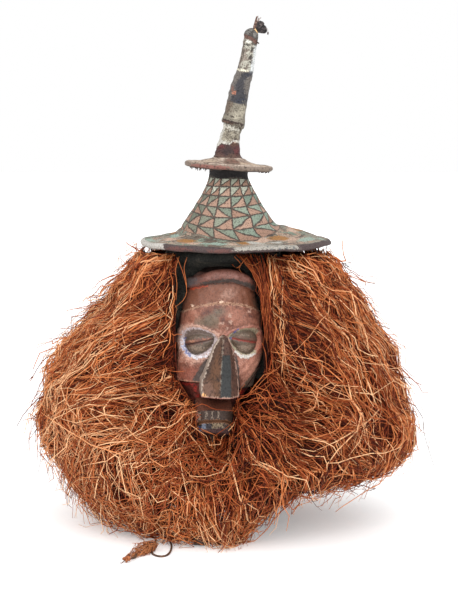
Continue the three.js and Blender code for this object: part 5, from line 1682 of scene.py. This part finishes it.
# %% Finishes of the two: stiff, matt sized cloth, its old paint cracked and specked with dirt
FOOT_COATS = [
    ("white_top", "#b8b4a8", 3, 1.2, 0.85), ("maroon", "#4d3230", 1.6, 0.6, 1.0),
    ("maroon_dark", "#33292a", 3, 3, 0.7, "broad"), ("maroon_red", "#5d2c2e", 2.4, 1.5, 0.8),
    ("foot_flare", "#5c453a", 2.5, 1.5, 0.7), ("brown_patch", "#553a2e", 2, 0.7, 0.95),
    ("brown_eye", "#b7a593", 0.8, 0.5, 0.9), ("white_edge", "#c6c3ba", 1.6, 0.7, 0.9),
]
SLEEVE_COATS = [
    ("chalk", "#a9a699", 5, 0.9, 0.95, "broad"), ("chalk_right", "#cdd0d0", 1.6, 1, 0.95),
    ("chalk_top", "#dcdcd2", 1.6, 0.6, 0.95), ("chalk_holes", "#352f2a", 1.6, 0.6, 0.9),
    ("coal", "#66605b", 1, 0.5, 1.0), ("streak", "#2a2b33", 2.6, 1.4, 0.85),
    ("blue", "#2d303c", 2, 1, 0.8), ("ember_dim", "#7a4a3c", 1.6, 0.8, 0.8),
    ("ember", "#a8705a", 1.8, 0.8, 0.85), ("cream", "#7b7467", 1.8, 0.6, 1.0),
    ("cream_light", "#a39c8b", 3, 2, 0.8), ("cream_dark", "#5c4c40", 3, 1, 0.75),
    ("fold_brown", "#5a3a2d", 1.6, 0.8, 0.85), ("fold", "#33241e", 1.2, 0.5, 0.95),
    ("ring", "#d6d0bc", 1.5, 0.5, 0.95), ("cap", "#47423e", 1, 0.6, 1.0),
    ("cap_pale", "#7f7c78", 2.4, 1.2, 0.7), ("tie", "#5f4037", 1.3, 0.6, 0.95),
]


def sized_cloth(dark, middle, light, table):
    """Makes a finish of sized cloth: a ground of three tones in flecks 3 mm wide, its coats,
    then specks of dirt under 2 mm wide."""
    return painted({"fine": (360, 4), "broad": (150, 4), "specks": (620, 3)}, 0.6,
                   [(0.38, dark), (0.5, middle), (0.62, light)], table,
                   ("specks", 0.38, 0.5, "#5f5750", 0.75), ("both", 0.003))


beige_cloth = sized_cloth("#575047", "#847c6d", "#a19a8a", FOOT_COATS)
chalky_cloth = sized_cloth("#4f473f", "#74695f", "#978c81", SLEEVE_COATS)
foot_cloth = finish("sized_cloth_beige_and_maroon", beige_cloth, Roughness=0.85, IOR=1.5)
sleeve_cloth = finish("sized_cloth_chalk_and_charcoal", chalky_cloth, Roughness=0.85, IOR=1.5)
piece("spire_foot_cloth", [foot_shell], [foot_cloth], ["spire_foot"])
piece("spire_sleeve_cloth", [sleeve_shell, nib], [sleeve_cloth, rag], ["spire_sleeve"])

# %% [markdown]
# ## The tip
# A scrap of dark cloth is gathered over the end of the stick and tied with a yellow cord.
# Its folds are a ripple round the scrap, deep at the open end and none at the tie. A frayed
# twist of fibre sticks up beside it, and a crumb of cloth hangs from a thread.

# %% The tuft
TUFT_START, TUFT_LEAN = np.array([43.0, 0, 712.0]), np.radians(60)
tuft_ahead = np.array([np.sin(TUFT_LEAN), 0, np.cos(TUFT_LEAN)])
tuft_aside = np.array([np.cos(TUFT_LEAN), 0, -np.sin(TUFT_LEAN)])
TUFT_AXES = (tuft_ahead, tuft_aside, BACK)
TUFT_PROFILE = [(0, 3.0), (1.3, 3.0), (3, 4.6), (5.5, 6.8), (9, 8.3), (12.5, 8), (14.5, 6.6),
                (15.3, 4), (14.2, 1.5), (13.6, 0.4)]


def round_axis(start, axes, along, radius, turn):
    """Places round an axis: so far along it from its start, at a radius, after a turn. The
    axes are the ways ahead, aside and over."""
    ahead, aside, over = axes
    square = np.cos(turn)[..., None] * aside + np.sin(turn)[..., None] * over
    return start + along[..., None] * ahead + np.asarray(radius)[..., None] * square


along, wide = through(TUFT_PROFILE, 60).T[..., None]
tuft_turn = np.linspace(0, TURN, 97)[:-1][None, :]
open_end = ease(along, 2, 9)
fold = np.sin(tuft_turn * 7 + 1.6 * np.sin(tuft_turn * 2) + along / 5)
fold = fold + 0.5 * np.sin(tuft_turn * 16 + along / 3)
wide = wide * (1 + 0.15 * open_end * fold)
along = along + open_end * (0.9 * np.sin(tuft_turn * 5 + 1) + 0.6 * fold)
tuft_shell = shell(round_axis(TUFT_START, TUFT_AXES, along, wide, tuft_turn))
print("the scrap is", round(2 * wide.max(), 1), "mm wide")

# %% The twist beside it, and the crumb on its thread
TWIST_ROUTE = [(42, -2, 711.5), (42.4, -2.4, 718), (44.2, -2, 724), (46, -1.4, 730)]
TWIST_STRANDS, STEPS = 7, 14
rng = np.random.default_rng(61)
lift = np.linspace(0, 1, STEPS)[:, None]
twist = []
for n in range(TWIST_STRANDS):
    turn_by = TURN * (n / TWIST_STRANDS + 0.9 * lift)
    off = np.hstack([np.cos(turn_by), np.sin(turn_by), 0 * turn_by]) * mix(1.8, 1.3, lift)
    stray = rng.normal(0, 1, 3) * (2.2, 1, 1.2) * lift**5
    route = through(TWIST_ROUTE, STEPS) + off + stray + 1.6 * UP * lift**4
    twist.append(tube(route, mix(0.9, 0.4, lift[:, 0]), 6, 1))
thread_route = [(56, -1, 716), (59.5, -1.5, 716.5), (61.2, -1.5, 713.5), (61.4, -1.5, 710.5)]
thread = tube(through(thread_route, STEPS), 0.22, 5, 1)
crumb_route = np.linspace((61.4, -1.5, 711), (61.2, -1.5, 706.4), 7)
crumb = tube(crumb_route, np.array([0.3, 0.9, 1.2, 1.3, 1.1, 0.8, 0.3]))
print("the twist has", len(twist), "strands")


# %% Finishes of the tip: soft charcoal cloth, dry fibre with paler flecks, and tan cotton
def gathered_cloth(tree):
    """Charcoal cloth, rubbed brownish grey in flecks 4 mm wide, with threads 1.7 mm apart."""
    place = node(tree, "TexCoord", output=3)
    broad = node(tree, "TexNoise", {"Vector": place, "Scale": 260, "Detail": 4})
    thread_wave = node(tree, "TexWave", {"Vector": place, "Scale": 190, "Distortion": 2.0}, 1)
    height = node(tree, "Math", {0: thread_wave, 1: 0.0004}, operation="MULTIPLY")
    return node(tree, "ValToRGB", {0: broad}, stops=[
        (0.38, "#232021"), (0.52, "#3b3536"), (0.66, "#665b58")]), height, None


def yellow_cord(tree):
    """Tan cotton with strands 2 mm apart, darker between them as painted shade."""
    place = node(tree, "TexCoord", output=3)
    lay_wave = node(tree, "TexWave", {"Vector": place, "Scale": 170, "Distortion": 1.0}, 1,
                    bands_direction="DIAGONAL")
    height = node(tree, "Math", {0: lay_wave, 1: 0.0003}, operation="MULTIPLY")
    # darker where the wave is low, between the strands: painted shade
    return node(tree, "ValToRGB", {0: lay_wave}, stops=[
        (0.1, "#b58a58"), (0.6, "#e2bd88")]), height, None


frayed_fibre = flecked(420, 3, [(0.4, "#4a342c"), (0.52, "#6e5247"), (0.64, "#937868")])
tuft_cloth = finish("gathered_dark_cloth", gathered_cloth, Roughness=0.9, IOR=1.45)
twist_fibre = finish("frayed_dry_fibre", frayed_fibre, Roughness=0.8, IOR=1.5)
cord_cotton = finish("yellow_cotton_cord", yellow_cord, Roughness=0.8, IOR=1.5)
piece("gathered_tip", [tuft_shell, *twist, thread, crumb], [tuft_cloth, twist_fibre],
      ["tip_tuft"])

# %% The yellow cord, wound 2.6 times round the neck of the tuft
turns = np.linspace(0, 2.6 * TURN, 90)
cord_route = round_axis(TUFT_START, TUFT_AXES, 0.5 + 1.5 * turns / turns[-1], 4.3, turns)
piece("yellow_tie", [tube(cord_route, 0.95, 7)], [cord_cotton], ["tip_cord"])

# %% [markdown]
# ## The bundle and the knot on the vine
# Two thin stems come out of a bound bundle of dry fibre and end in a small knot. The bundle
# is a loose spindle of 90 fibres, bound near one end.

# %% The bundle
BUNDLE_START = np.array([-98.0, -176, 7.0])
BUNDLE_END = np.array([-125.0, -219, 6.0])
rng = np.random.default_rng(71)
count, steps = 90, 9
t = np.linspace(0, 1, steps)[None, :]
begin, end = rng.uniform(-0.16, 0.12, count)[:, None], rng.uniform(0.72, 1.24, count)[:, None]
t = begin + (end - begin) * t
ahead = (BUNDLE_END - BUNDLE_START) / np.linalg.norm(BUNDLE_END - BUNDLE_START)
aside = np.cross(ahead, UP)
BUNDLE_AXES = (BUNDLE_END - BUNDLE_START, aside / np.linalg.norm(aside), UP)
stray = np.where(rng.random(count) < 0.5, 1.6, 1.0)[:, None]
spindle = 0.35 + 0.75 * np.sin(np.pi * np.clip(0.12 + 0.8 * t, 0, 1))
distance = 7.0 * stray * np.sqrt(rng.random(count))[:, None] * spindle
angle = rng.uniform(0, TURN, count)[:, None] + 1.2 * t + 0.4 * rng.normal(size=(count, steps))
paths = round_axis(BUNDLE_START, BUNDLE_AXES, t, distance, angle)
paths += rng.normal(0, 1.1, paths.shape)
radius = rng.uniform(0.3, 0.6, count)
fibre_shell = strands(paths, radius, rng.uniform(0.05, 0.8, count), rng)
turns = np.linspace(0, 5 * TURN, 120)
along = 0.08 + 0.16 * turns / turns[-1]
binding = round_axis(BUNDLE_START, BUNDLE_AXES, along, 5.6, turns)
binding[:, 2] = np.maximum(binding[:, 2], 0.9)
print(count, "fibres lie in the bundle")


# %% Finish of the bundle: dull dry brown fibre, redder than the raffia
def dry_fibre(tree):
    """Dry brown fibre: each strand its own tone, with flecks 3 mm long."""
    tone = node(tree, "Attribute", {}, 2, attribute_name="tone")
    place = node(tree, "TexCoord", output=3)
    fleck = node(tree, "TexNoise", {"Vector": place, "Scale": 300, "Detail": 3})
    value = node(tree, "Math", {0: fleck, 1: 0.6, 2: tone}, operation="MULTIPLY_ADD")
    return node(tree, "ValToRGB", {0: value}, stops=[
        (0.3, "#35170c"), (0.62, "#824224"), (0.95, "#bf7a4b")]), None, None


bundle_fibre = finish("dry_brown_fibre", dry_fibre, Roughness=0.75, IOR=1.45)
bundle = piece("fibre_bundle", [fibre_shell, tube(binding, 0.7, 6)], [bundle_fibre],
               ["tie_bundle"])

# %% The knot and its two stems
KNOT = np.array([-131.0, -243, 4.8])
STEM_STEPS = 24
stem_radius = 1.6 * (1 + 0.08 * np.sin(np.arange(STEM_STEPS) * 1.3))
stems = []
for x, bow in ((-120.0, 5), (-129.0, -3)):
    halfway = (mix(x, KNOT[0], 0.5) + bow, -230, 4)
    stem_route = through([(x, -216, 4.5), halfway, KNOT + (0.3 * bow, 2, 0)], STEM_STEPS)
    stems.append(tube(stem_route, stem_radius))
turns = np.linspace(0, TURN, 64)[:, None]
loop = KNOT + np.hstack([3.2 * np.sin(turns) + 1.4 * np.sin(2 * turns), 2.4 * np.cos(3 * turns),
                         0.5 + 1.9 * np.cos(turns) + 1.0 * np.sin(3 * turns)])
loop[:, 2] = np.maximum(loop[:, 2], 1.8)
wisp_line = [(0, 0, 0), (-4, -3, -2), (-6, -5, -3.6), (-9, -4, -3.8)]
wisp_route = through(KNOT + wisp_line, 20)
wisp = tube(wisp_route, np.linspace(0.8, 0.4, 20), 5)
knotted = tube(loop, 1.9, finish=1)
knotted["marks"] = {"tone": np.full(len(knotted["points"]), 0.42)}
knot = piece("vine_knot", [*stems, knotted, wisp], [vine_bark, bundle_fibre], ["tie_knot"])
